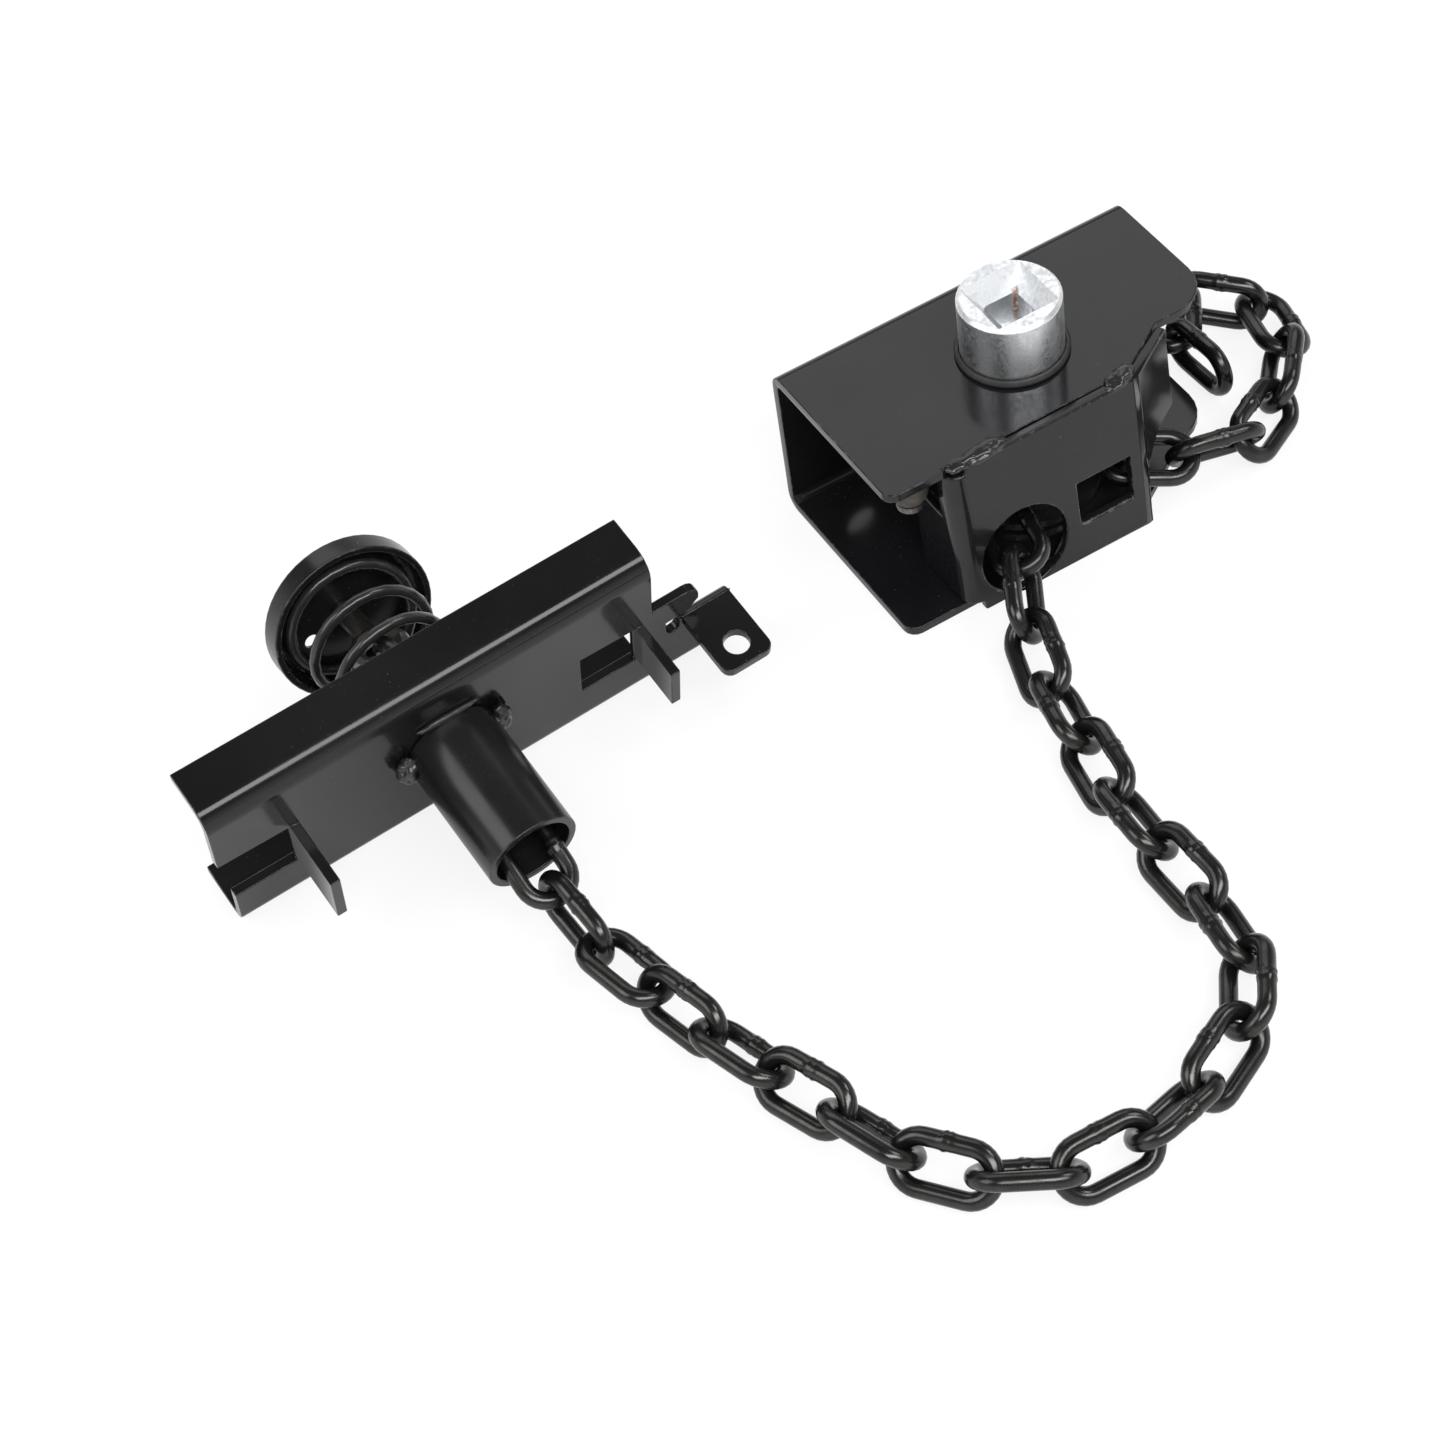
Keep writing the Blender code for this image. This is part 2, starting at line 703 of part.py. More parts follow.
def front_trim(front, lip, far):
    # what lies in front of the sheet's edge: a stepped left lip, the seam and the round right corner
    slope = math.tan(EXIT_FLANGE_ANGLE)
    bend = PLATE_RIGHT - (SHEET / 2 + GAP) * math.tan(EXIT_FLANGE_ANGLE / 2)
    shoulder = bend + (front - RIGHT_SHOULDER) / slope
    left = -HOUSING_LEFT + LEFT_CORNER
    right = HOUSING_RIGHT - RIGHT_CORNER
    edge = [(-far, -far), (far, -far), (far, -RIGHT_SHOULDER + RIGHT_CORNER)]
    edge += arc((right, -RIGHT_SHOULDER + RIGHT_CORNER), RIGHT_CORNER, 0, -math.pi / 2, 6)
    edge += [(shoulder, -RIGHT_SHOULDER), (bend, -front), (-PLATE_LEFT, -front)]
    if lip:
        edge.append((-PLATE_LEFT, -front - lip))
    edge += arc((left, -front - lip + LEFT_CORNER), LEFT_CORNER, -math.pi / 2, -math.pi, 4)
    edge.append((-far, -front - lip + LEFT_CORNER))
    return edge


def build_front_plate():
    middle = -TOP_FRONT - GAP - SHEET / 2
    exit_end = (
        PLATE_RIGHT + EXIT_FLANGE * math.cos(EXIT_FLANGE_ANGLE),
        middle + EXIT_FLANGE * math.sin(EXIT_FLANGE_ANGLE),
    )
    path = bent_path(
        (
            (-PLATE_LEFT + SHEET / 2, middle + SIDE_FLANGE),
            (-PLATE_LEFT + SHEET / 2, middle),
            (PLATE_RIGHT, middle),
            exit_end,
        ),
        (PLATE_BEND, PLATE_BEND),
    )
    low, high = SHEET + GAP, UNDER_TOP - GAP
    inside = prism("plate", strip_outline(path, SHEET), low, high)
    plate = add_object("front_plate", inside, paint("front_plate"))
    skirt = add_cutter("plate_skirt", prism("plate_skirt", strip_outline(path[BEND_STEPS + 1:], SHEET), 0.0,
                                             HOUSING_HEIGHT - GAP))
    boolean(plate, skirt, "UNION")
    hole = Matrix.Translation((-CHAIN_LINE, 0, CHAIN_LEVEL - CHAIN_HOLE_DROP)) @ FRONTWAYS
    boolean(plate, add_cutter("chain_hole", cylinder("chain_hole", CHAIN_HOLE, TOP_FRONT - SHEET,
                                                     BASE_FRONT + 2 * SHEET, hole, 40)))
    window = block(
        "window", (WINDOW_LEFT, -BASE_FRONT - 2 * SHEET, WINDOW_LOW),
        (WINDOW_LEFT + WINDOW_WIDTH, -TOP_FRONT + SHEET, WINDOW_LOW + WINDOW_HEIGHT),
    )
    boolean(plate, add_cutter("window", window))
    flange_end = middle + SIDE_FLANGE
    notch = block(
        "side_notch", (-PLATE_LEFT - SHEET, flange_end - SIDE_NOTCH_DEPTH, high - SIDE_NOTCH_HEIGHT),
        (-PLATE_LEFT + 2 * SHEET, flange_end + SHEET, high + SHEET),
    )
    boolean(plate, add_cutter("side_notch", notch))
    run = Vector((math.cos(EXIT_FLANGE_ANGLE), math.sin(EXIT_FLANGE_ANGLE), 0))
    facing = frame_of(run, UP, run.cross(UP), (PLATE_RIGHT, middle, 0))
    opening = [
        (SHEET / 3, -SHEET), (EXIT_FLANGE + SHEET, -SHEET), (EXIT_FLANGE + SHEET, EXIT_HEIGHT),
        (EXIT_FLANGE / 2, EXIT_HEIGHT), (SHEET / 3, EXIT_HEIGHT - 2 * SHEET),
    ]
    boolean(plate, add_cutter("exit_opening", prism("exit_opening", opening, -3 * SHEET, 4 * SHEET, facing)))
    lean = Matrix.Identity(4)
    lean[1][2] = FRONT_LEAN
    lean[1][3] = -FRONT_LEAN * HOUSING_HEIGHT
    for step in plate.modifiers:
        if step.object.name != "chain_hole" and step.object.name != "window":
            step.object.data.transform(lean)
    plate.data.transform(lean)


def build_stop():
    at = Matrix.Translation((*STOP_AT, 0))
    top = UNDER_TOP - GAP
    low = top - STOP_LENGTH
    hole = STOP_RIVET + GAP
    profile = [
        (hole, top), (STOP_RADIUS, top), (STOP_RADIUS, low + SHEET),
        (STOP_RADIUS - SHEET / 2, low), (hole, low),
    ]
    add_object("stop_buffer", turned("stop_buffer", profile, 24, at), paint("stop_buffer", RUBBER, 0.8))
    head = STOP_RIVET * 2
    rivet = [
        (0, top), (STOP_RIVET, top), (STOP_RIVET, low - GAP), (head, low - GAP),
        (head, low - GAP - STOP_RIVET), (0, low - GAP - STOP_RIVET),
    ]
    mesh = turned("buffer_rivet", rivet, 16, at)
    add_object("buffer_rivet", mesh, paint("buffer_rivet", BARE_STEEL, 0.4, 0.9))


# drive

def build_bushes():
    inner = SHAFT_RADIUS + GAP
    outer = SHAFT_RADIUS + BUSH_WALL
    low = UNDER_TOP - GAP - BUSH_FLANGE
    top_bush = [
        (inner, HOUSING_HEIGHT), (outer, HOUSING_HEIGHT), (outer, UNDER_TOP - GAP),
        (outer + BUSH_FLANGE, UNDER_TOP - GAP), (outer + BUSH_FLANGE, low), (inner, low),
    ]
    add_object("shaft_bush", turned("shaft_bush", top_bush), paint("shaft_bush", BRONZE, 0.4, 0.9))
    inner = JOURNAL_RADIUS + RUN_GAP
    outer = inner + BUSH_WALL
    cup = [(0, SHEET / 2 - GAP), (inner, SHEET / 2 - GAP), (inner, SHEET), (outer, SHEET), (outer, 0), (0, 0)]
    add_object("floor_bush", turned("floor_bush", cup), paint("floor_bush", BRONZE, 0.4, 0.9))
    ring = SOCKET_RADIUS + GAP
    low, high = HOUSING_HEIGHT + GAP, HOUSING_HEIGHT + SEAL_HEIGHT
    seal = [
        (ring, low), (ring, high), (ring + SEAL_WIDTH / 2, high),
        (ring + SEAL_WIDTH, (HOUSING_HEIGHT + high) / 2), (ring + SEAL_WIDTH, low),
    ]
    add_object("seal_ring", turned("seal_ring", seal), paint("seal_ring", RUBBER, 0.7))


def square_outline(width, corner):
    half = width / 2 - corner
    outline = []
    for quarter in range(4):
        turn = quarter * math.pi / 2
        centre = Matrix.Rotation(turn, 2) @ Vector((half, half))
        outline += arc(centre, corner, turn, turn + math.pi / 2, 3)
    return outline


def build_drive():
    at_top = Matrix.Translation((0, 0, SOCKET_TOP))
    body = [
        (0, SOCKET_TOP), (SOCKET_RADIUS - SOCKET_CHAMFER, SOCKET_TOP),
        (SOCKET_RADIUS, SOCKET_TOP - SOCKET_CHAMFER),
        (SOCKET_RADIUS, SOCKET_LOW), (0, SOCKET_LOW),
    ]
    mesh = turned("drive_socket", body, 48)
    socket = add_object("drive_socket", mesh, paint("drive_socket", ZINC, 0.35, 1.0))
    square = prism("square", square_outline(SQUARE, SHEET / 2), -SQUARE_DEPTH, SOCKET_CHAMFER, at_top)
    boolean(socket, add_cutter("square", square))
    mouth = bpy.data.meshes.new("square_mouth")
    shape = bmesh.new()
    bmesh.ops.create_cone(
        shape, cap_ends=True, segments=4, radius1=SQUARE / math.sqrt(2), radius2=SQUARE_MOUTH / math.sqrt(2),
        depth=SQUARE_TAPER, matrix=Matrix.Translation((0, 0, -SQUARE_TAPER / 2 + MERGE))
        @ Matrix.Rotation(math.pi / 4, 4, "Z"),
    )
    shape.to_mesh(mouth)
    shape.free()
    mouth.transform(at_top)
    boolean(socket, add_cutter("square_mouth", mouth))
    seat = SPIGOT_RADIUS + GAP
    boolean(socket, add_cutter("socket_bore", cylinder("socket_bore", seat, SOCKET_LOW - SHEET,
                                                       SOCKET_LOW + SPIGOT_LENGTH)))
    clip_high = UNDER_TOP - BUSH_FLANGE - GAP - CLIP_DROP
    clip_low = clip_high - CLIP_THICK
    groove = SHAFT_RADIUS - CLIP_WIDTH / 4
    upper = [
        (0, SOCKET_LOW + SPIGOT_LENGTH - GAP), (SPIGOT_RADIUS, SOCKET_LOW + SPIGOT_LENGTH - GAP),
        (SPIGOT_RADIUS, SOCKET_LOW - GAP), (SHAFT_RADIUS, SOCKET_LOW - GAP), (SHAFT_RADIUS, clip_high + GAP),
        (groove, clip_high + GAP), (groove, clip_low - GAP), (SHAFT_RADIUS, clip_low - GAP),
        (SHAFT_RADIUS, GEAR_HIGH), (JOURNAL_RADIUS, GEAR_HIGH), (JOURNAL_RADIUS, SHEET / 2), (0, SHEET / 2),
    ]
    mesh = turned("eccentric_shaft", upper)
    shaft = add_object("eccentric_shaft", mesh, paint("eccentric_shaft", BARE_STEEL, 0.35, 1.0))
    offset = Matrix.Translation((ECCENTRICITY, 0, 0))
    cam = cylinder("eccentric", ECCENTRIC_RADIUS, GEAR_LOW, GEAR_HIGH + GAP, offset, 40)
    boolean(shaft, add_cutter("eccentric", cam), "UNION")
    inner = groove + GAP
    outer = inner + CLIP_WIDTH
    clip = turned("clip", [(inner, clip_high), (outer, clip_high), (outer, clip_low), (inner, clip_low)])
    retaining = add_object("retaining_clip", clip, paint("retaining_clip", BARE_STEEL, 0.4, 1.0))
    half = CLIP_MOUTH / 2
    mouth = block("clip_mouth", (0, -half, clip_low - SHEET), (SOCKET_RADIUS, half, clip_high + SHEET))
    boolean(retaining, add_cutter("clip_mouth", mouth))


def lobe_outline():
    # the curve that a disc with one lobe fewer than the ring's teeth needs to roll in it
    radius = TOOTH_RADIUS + LOBE_GAP
    teeth = RING_TEETH
    outline = []
    steps = (teeth - 1) * LOBE_STEPS
    for i in range(steps):
        turn = math.tau * i / steps
        swing = (1 - teeth) * turn
        lean = math.atan2(math.sin(swing), TOOTH_CIRCLE / (ECCENTRICITY * teeth) - math.cos(swing))
        x = TOOTH_CIRCLE * math.cos(turn) - radius * math.cos(turn + lean)
        y = radius * math.sin(turn + lean) - TOOTH_CIRCLE * math.sin(turn)
        swing = teeth * turn
        outline.append((x - ECCENTRICITY * math.cos(swing), y + ECCENTRICITY * math.sin(swing)))
    return outline[::-1]


def pin_places():
    out = Matrix.Translation((ANCHOR_CIRCLE, 0, 0))
    turns = [math.tau * (i + 0.5) / ANCHOR_PINS for i in range(ANCHOR_PINS)]
    return [Matrix.Rotation(turn, 4, "Z") @ out for turn in turns]


def build_gears():
    gear_mesh = prism("cycloid_gear", lobe_outline(), GEAR_LOW + GAP, GEAR_HIGH - GAP)
    gear = add_object("cycloid_gear", gear_mesh, paint("cycloid_gear", BARE_STEEL, 0.4, 1.0), 60)
    low, high = GEAR_LOW - SHEET, GEAR_HIGH + SHEET
    holes = [cylinder("gear_bore", ECCENTRIC_RADIUS + RUN_GAP, low, high, sides=40)]
    swept = ANCHOR_RADIUS + ECCENTRICITY + RUN_GAP
    for place in pin_places():
        holes.append(cylinder("pin_hole", swept, low, high, place, 20))
    cutter = add_cutter("gear_holes", joined("gear_holes", holes))
    boolean(gear, cutter)
    for piece in (gear, cutter):
        piece.location.x = ECCENTRICITY
    plate_low = UNDER_TOP - GAP - BUSH_FLANGE - BUSH_DEPTH + GAP
    plate_in = SHAFT_RADIUS + CLIP_WIDTH + RUN_GAP
    plate_out = ANCHOR_CIRCLE + 3 * ANCHOR_RADIUS
    seat = [
        (plate_in, UNDER_TOP - GAP), (plate_out, UNDER_TOP - GAP),
        (plate_out, plate_low), (plate_in, plate_low),
    ]
    bush_clear = SHAFT_RADIUS + BUSH_WALL + BUSH_FLANGE + GAP
    if bush_clear > plate_in:
        seat[0] = (bush_clear, UNDER_TOP - GAP)
        seat.append((plate_in, UNDER_TOP - BUSH_FLANGE - 3 * GAP))
        seat.append((bush_clear, UNDER_TOP - BUSH_FLANGE - 3 * GAP))
    mesh = turned("anchor_plate", seat)
    plate = add_object("anchor_plate", mesh, paint("anchor_plate", BARE_STEEL, 0.45, 1.0))
    low, high = GEAR_LOW + GAP, plate_low + SHEET / 2
    pins = [cylinder("pin", ANCHOR_RADIUS, low, high, place, 12) for place in pin_places()]
    boolean(plate, add_cutter("anchor_pins", joined("anchor_pins", pins)), "UNION")


def build_wheel():
    hub = PITCH * math.sqrt(3) / 2 - LINK_SIDE - RUN_GAP
    rim = PITCH * math.sqrt(3) / 2 - WIRE_RADIUS - RUN_GAP
    half = WIRE_RADIUS + RUN_GAP
    bore = JOURNAL_RADIUS + GAP
    profile = [
        (bore, WHEEL_HIGH + WHEEL_FLANGE), (WHEEL_RADIUS, WHEEL_HIGH + WHEEL_FLANGE),
        (WHEEL_RADIUS, WHEEL_HIGH), (rim, WHEEL_HIGH), (rim, CHAIN_LEVEL + half),
        (hub, CHAIN_LEVEL + half), (hub, CHAIN_LEVEL - half),
        (rim, CHAIN_LEVEL - half), (rim, WHEEL_LOW), (WHEEL_RADIUS, WHEEL_LOW),
        (WHEEL_RADIUS, WHEEL_LOW - WHEEL_FLANGE), (bore, WHEEL_LOW - WHEEL_FLANGE),
    ]
    add_object("chain_wheel", turned("chain_wheel", profile, 48), paint("chain_wheel", BARE_STEEL, 0.5, 1.0))
    inner = TOOTH_CIRCLE + RUN_GAP
    outer = TOOTH_CIRCLE + RING_WALL
    ring = [(inner, GEAR_HIGH), (outer, GEAR_HIGH), (outer, RING_LOW), (inner, RING_LOW)]
    gear = add_object("ring_gear", turned("ring_gear", ring, 48), paint("ring_gear", BARE_STEEL, 0.45, 1.0))
    teeth = []
    for i in range(RING_TEETH):
        place = Matrix.Rotation(math.tau * i / RING_TEETH, 4, "Z") @ Matrix.Translation((TOOTH_CIRCLE, 0, 0))
        teeth.append(cylinder("tooth", TOOTH_RADIUS, RING_LOW + MERGE, GEAR_HIGH - MERGE, place, 16))
    boolean(gear, add_cutter("ring_teeth", joined("ring_teeth", teeth)), "UNION")


# carrier

def build_bar(pivot):
    half = BAR_SHEET / 2
    path = bent_path(
        (
            (TOP_FLANGE, BAR_HEIGHT - half), (half, BAR_HEIGHT - half), (half, half), (LOW_FLANGE, half),
        ),
        (TOP_BEND, LOW_BEND),
    )
    mesh = prism("carrier_bar", strip_outline(path, BAR_SHEET), -BAR_LEFT, STRIP_RIGHT, SIDEWAYS)
    bar = add_object("carrier_bar", mesh, paint("carrier_bar"))
    deep = 2 * LOW_FLANGE
    cuts = {
        "left_window": block("left_window", (-deep - BAR_LEFT, -deep, FOOT_LOW),
                             (-LEFT_FOOT_AT, LOW_BEND + half, LEFT_FOOT_HIGH)),
        "right_window": block("right_window", (RIGHT_FOOT_AT - RIGHT_FOOT_LENGTH, -deep, FOOT_LOW),
                              (RIGHT_FOOT_AT, LOW_BEND + half, RIGHT_FOOT_HIGH)),
        "strip_end": block("strip_end", (-deep - BAR_LEFT, -deep, -deep),
                           (-STRIP_LEFT, deep, FOOT_LOW + half)),
        "flange_end": block("flange_end", (BAR_RIGHT, BAR_SHEET + GAP, -deep),
                            (STRIP_RIGHT + deep, deep, FOOT_LOW)),
        "right_end": prism("right_end", right_end_outline(), -deep, deep, FRONTWAYS),
        "tube_hole": cylinder("tube_hole", TUBE_RADIUS - TUBE_WALL, -deep, deep,
                              CARRIER.inverted() @ TUBE, 32),
    }
    for name, mesh in cuts.items():
        boolean(bar, add_cutter(name, mesh))
    joins = {
        "left_foot": block("left_foot", (-LEFT_FOOT_AT, -LEFT_FOOT_LENGTH, FOOT_LOW + GAP),
                           (-LEFT_FOOT_AT + BAR_SHEET, half, LEFT_FOOT_HIGH - GAP)),
        "right_foot": block("right_foot", (RIGHT_FOOT_AT, -RIGHT_FOOT_LENGTH, FOOT_LOW + GAP),
                            (RIGHT_FOOT_AT + BAR_SHEET, half, RIGHT_FOOT_HIGH - GAP)),
        "lock_tab": prism("lock_tab", lock_outline(), LOCK_LEVEL - BAR_SHEET, LOCK_LEVEL - MERGE),
    }
    for name, mesh in joins.items():
        boolean(bar, add_cutter(name, mesh), "UNION")
    middle = Matrix.Translation(((LOCK_LEFT + STRIP_RIGHT) / 2, -LOCK_HOLE_AT, 0))
    boolean(bar, add_cutter("lock_hole", cylinder("lock_hole", LOCK_HOLE, LOCK_LEVEL - 2 * BAR_SHEET,
                                                  LOCK_LEVEL + BAR_SHEET, middle, 24)))
    for piece in [bar] + [step.object for step in bar.modifiers]:
        hang(piece, pivot, CARRIER)


def right_end_outline():
    # what is cut from the web's right end: above the finger lug, the slot under it, above the lock tab
    far = STRIP_RIGHT + BAR_HEIGHT
    slot = SLOT_WIDTH / 2
    slot_at = BAR_RIGHT + SLOT_OFFSET + slot
    edge = [(far, far), (BAR_RIGHT, far), (BAR_RIGHT, LUG_HIGH)]
    edge += arc((LUG_TIP - LUG_CORNER, LUG_HIGH - LUG_CORNER), LUG_CORNER, math.pi / 2, 0, 4)
    edge += [(LUG_TIP, LUG_LOW + LUG_CORNER), (LUG_TIP - LUG_CORNER, LUG_LOW), (slot_at - slot, LUG_LOW)]
    edge += arc((slot_at, SLOT_LOW + slot), slot, -math.pi, 0, 6)
    edge += [(slot_at + slot, LOCK_LEVEL), (far, LOCK_LEVEL)]
    return edge[::-1]


def lock_outline():
    left, right = LOCK_LEFT, STRIP_RIGHT - MERGE
    front = -LOCK_LENGTH + LOCK_CORNER
    outline = [(right, BAR_SHEET / 2), (left, BAR_SHEET / 2)]
    outline += arc((left + LOCK_CORNER, front), LOCK_CORNER, math.pi, 3 * math.pi / 2, 4)
    outline += arc((right - LOCK_CORNER, front), LOCK_CORNER, 3 * math.pi / 2, 2 * math.pi, 4)
    return outline


def build_tube(pivot):
    inner = TUBE_RADIUS - TUBE_WALL
    profile = [(inner, TUBE_LENGTH), (TUBE_RADIUS, TUBE_LENGTH), (TUBE_RADIUS, GAP), (inner, GAP)]
    mesh = turned("guide_tube", profile, 40, TUBE)
    tube = add_object("guide_tube", mesh, paint("guide_tube", BLACK_PAINT, 0.25))
    for side in (-1, 1):
        bead = bpy.data.meshes.new("tube_bead")
        shape = bmesh.new()
        bmesh.ops.create_icosphere(shape, subdivisions=2, radius=TUBE_BEAD)
        shape.to_mesh(bead)
        shape.free()
        away = TUBE_RADIUS - TUBE_WALL / 2 + TUBE_BEAD
        bead.transform(TUBE @ Matrix.Translation((side * away, 0, TUBE_BEAD + GAP)))
        boolean(tube, add_cutter(f"tube_bead_{side}", bead), "UNION")
    for piece in [tube] + [step.object for step in tube.modifiers]:
        hang(piece, pivot, Matrix())


def build_dish(pivot, dish):
    hole = SHANK_RADIUS + GAP
    floor = DISH_RADIUS - DISH_CORNER
    profile = [
        (hole, DISH_WALL), (floor, DISH_WALL), (DISH_RADIUS - DISH_WALL, DISH_CORNER),
        (DISH_RADIUS - DISH_WALL, DISH_DEPTH), (DISH_RADIUS, DISH_DEPTH), (DISH_RADIUS, DISH_WALL),
        (floor + DISH_WALL / 2, 0), (hole, 0),
    ]
    piece = add_object("dish", turned("dish", profile, 48), paint("dish", BLACK_PAINT, 0.35))
    drain = Matrix.Rotation(DRAIN_TURN, 4, "Z") @ Matrix.Translation((DRAIN_AT, 0, 0))
    cutter = add_cutter("drain", cylinder("drain", DRAIN_HOLE, -DISH_WALL, 2 * DISH_WALL, drain, 16))
    boolean(piece, cutter)
    for part in (piece, cutter):
        hang(part, pivot, dish)


def spring_points(dish):
    # a cone of coils from the web's back to the dish floor, leaning over to lie flat in the dish
    seat = SPRING_WIRE / 2 + GAP
    start = TUBE @ Matrix.Translation((0, 0, -BAR_SHEET - seat))
    end = dish @ Matrix.Translation((0, 0, DISH_WALL + seat))
    bend = (end.translation - start.translation).length / 2
    control = [
        start.translation, start.translation - start.to_3x3() @ UP * bend,
        end.translation + end.to_3x3() @ UP * bend, end.translation,
    ]
    turned_to = (start.to_quaternion(), end.to_quaternion())
    count = round(SPRING_TURNS * SPRING_STEPS)
    length = sum((a - b).length for a, b in zip(control, control[1:]))
    end_share = SPRING_END_PITCH * SPRING_END_TURN / length
    end_turn = SPRING_END_TURN / SPRING_TURNS
    points = []
    for i in range(count + 1):
        share = i / count
        if share < end_turn:
            along = end_share * share / end_turn
        elif share > 1 - end_turn:
            along = 1 - end_share * (1 - share) / end_turn
        else:
            middle = (share - end_turn) / (1 - 2 * end_turn)
            along = end_share + (1 - 2 * end_share) * middle
        a, b, c, d = control
        rest = 1 - along
        centre = a * rest ** 3 + b * 3 * rest ** 2 * along + c * 3 * rest * along ** 2 + d * along ** 3
        radius = SPRING_SMALL + (SPRING_LARGE - SPRING_SMALL) * share
        turn = math.tau * SPRING_TURNS * share
        across = turned_to[0].slerp(turned_to[1], along) @ Vector((math.cos(turn), math.sin(turn), 0))
        points.append(centre + across * radius)
    return points


def least_gap(points, wire):
    # the least distance between runs that are over half a turn apart, less the wire
    apart = SPRING_STEPS // 2 + 1
    fine = []
    for a, b in zip(points, points[1:]):
        fine += [a.lerp(b, i / 4) for i in range(4)]
    least = min(
        (p - q).length for i, p in enumerate(fine) for q in fine[i + apart * 4:]
    )
    return least - wire


def build_spring(pivot, dish):
    points = spring_points(dish)
    first = (points[0] - points[1]).normalized() * SPRING_WIRE
    last = (points[-1] - points[-2]).normalized() * SPRING_WIRE
    points = [points[0] + first] + points + [points[-1] + last]
    mesh = tube_mesh("spring", points, SPRING_WIRE / 2, 1)
    spring = add_object("spring", mesh, paint("spring", (0.02, 0.02, 0.02), 0.3, 0.5), 80)
    hang(spring, pivot, Matrix())
    print("spring least gap to itself", round(least_gap(points, SPRING_WIRE) / MM, 2), "mm")


def carrier_chain(last):
    # the links inside the tube and the spring run straight back along the tube's axis
    back = -(TUBE.to_3x3() @ UP)
    links = []
    for number in range(CARRIER_LINKS):
        last = next_link(last, back)
        links.append(last)
    return links


def joints_of(first, links):
    hooks = [Contact(parent, link) for parent, link in zip([first] + links, links)]
    return [(hook.first, hook.first_axis) for hook in hooks]


def build_chain_and_anchor():
    fixed_links("wheel_link", WRAPPED)
    main = main_chain()
    show_links("chain_link", main, joints_of(ENTRY, main))
    tail = lay_chain(EXIT, tail_route(), TAIL_LINKS, tail_twist)
    show_links("tail_link", tail, joints_of(EXIT, tail))
    inner = carrier_chain(main[-1])
    hook = Contact(main[-1], inner[0])
    pivot = add_pivot("carrier", hook.first, hook.first_axis)
    fixed_links("carrier_link", inner, pivot)
    swing = Matrix.Rotation(-DISH_TILT, 3, TUBE.to_3x3() @ Vector((1, 0, 0)))
    eye = next_link(inner[-1], swing @ inner[-1].run)
    ring_eye("anchor_eye", eye, EYE_REACH, paint("anchor_eye", BARE_STEEL, 0.4, 0.9), pivot)
    floor = eye.centre + eye.run * (EYE_REACH - LINK_TIP - GAP)
    return pivot, frame_of(eye.side, eye.side.cross(eye.run), -eye.run, floor)


build_bracket()
build_front_plate()
build_stop()
build_bushes()
build_drive()
build_gears()
build_wheel()
SLIDE_PIVOT = add_pivot("carrier_slide", TUBE.translation, -(TUBE.to_3x3() @ UP))
build_bar(SLIDE_PIVOT)
build_tube(SLIDE_PIVOT)
CARRIER_PIVOT, DISH = build_chain_and_anchor()
build_dish(CARRIER_PIVOT, DISH)
build_spring(CARRIER_PIVOT, DISH)
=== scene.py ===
import json
import math

import bmesh
import bpy
import numpy as np
from mathutils import Matrix, Quaternion, Vector, noise

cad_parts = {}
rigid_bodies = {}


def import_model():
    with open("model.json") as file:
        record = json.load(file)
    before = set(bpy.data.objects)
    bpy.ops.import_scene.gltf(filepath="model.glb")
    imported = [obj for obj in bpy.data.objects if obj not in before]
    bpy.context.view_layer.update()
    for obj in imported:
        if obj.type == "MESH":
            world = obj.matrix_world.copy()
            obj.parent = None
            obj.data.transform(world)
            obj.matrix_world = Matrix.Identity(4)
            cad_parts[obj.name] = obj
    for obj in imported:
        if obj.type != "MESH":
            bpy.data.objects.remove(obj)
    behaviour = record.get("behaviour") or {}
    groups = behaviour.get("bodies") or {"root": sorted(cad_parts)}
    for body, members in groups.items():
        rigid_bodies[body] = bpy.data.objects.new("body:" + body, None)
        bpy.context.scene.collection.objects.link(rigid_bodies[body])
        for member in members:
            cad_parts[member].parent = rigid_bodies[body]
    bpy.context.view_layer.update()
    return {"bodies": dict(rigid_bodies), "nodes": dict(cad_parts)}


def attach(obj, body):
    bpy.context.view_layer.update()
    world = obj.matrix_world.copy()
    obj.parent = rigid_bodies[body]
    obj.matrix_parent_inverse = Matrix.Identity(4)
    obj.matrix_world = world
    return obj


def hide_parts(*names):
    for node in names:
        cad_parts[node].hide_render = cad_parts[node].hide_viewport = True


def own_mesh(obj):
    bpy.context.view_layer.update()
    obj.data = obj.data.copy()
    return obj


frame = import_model()
nodes = frame["nodes"]
mm = 0.001

scene = bpy.context.scene
scene.view_settings.view_transform = "Standard"


# camera at the photograph's place, worked out in the part's own frame
cameraSet = {
    "place": (-331.1, -546.9, 668.2),
    "right": (0.85609, -0.50275, -0.11972),
    "up": (0.45639, 0.62676, 0.63157),
    "lens": 77.16,
    "sensor": 36.0,
    "clip": (0.02, 60.0),
}


def makeCamera():
    lensData = bpy.data.cameras.new("photoCamera")
    lensData.lens = cameraSet["lens"]
    lensData.sensor_width = cameraSet["sensor"]
    lensData.clip_start, lensData.clip_end = cameraSet["clip"]
    right = Vector(cameraSet["right"]).normalized()
    up = Vector(cameraSet["up"])
    up = (up - right * up.dot(right)).normalized()
    turn = Matrix((right, up, right.cross(up))).transposed().to_4x4()
    camera = bpy.data.objects.new("photoCamera", lensData)
    camera.matrix_world = Matrix.Translation(Vector(cameraSet["place"]) * mm) @ turn
    scene.collection.objects.link(camera)
    scene.camera = camera


makeCamera()
print("camera placed")


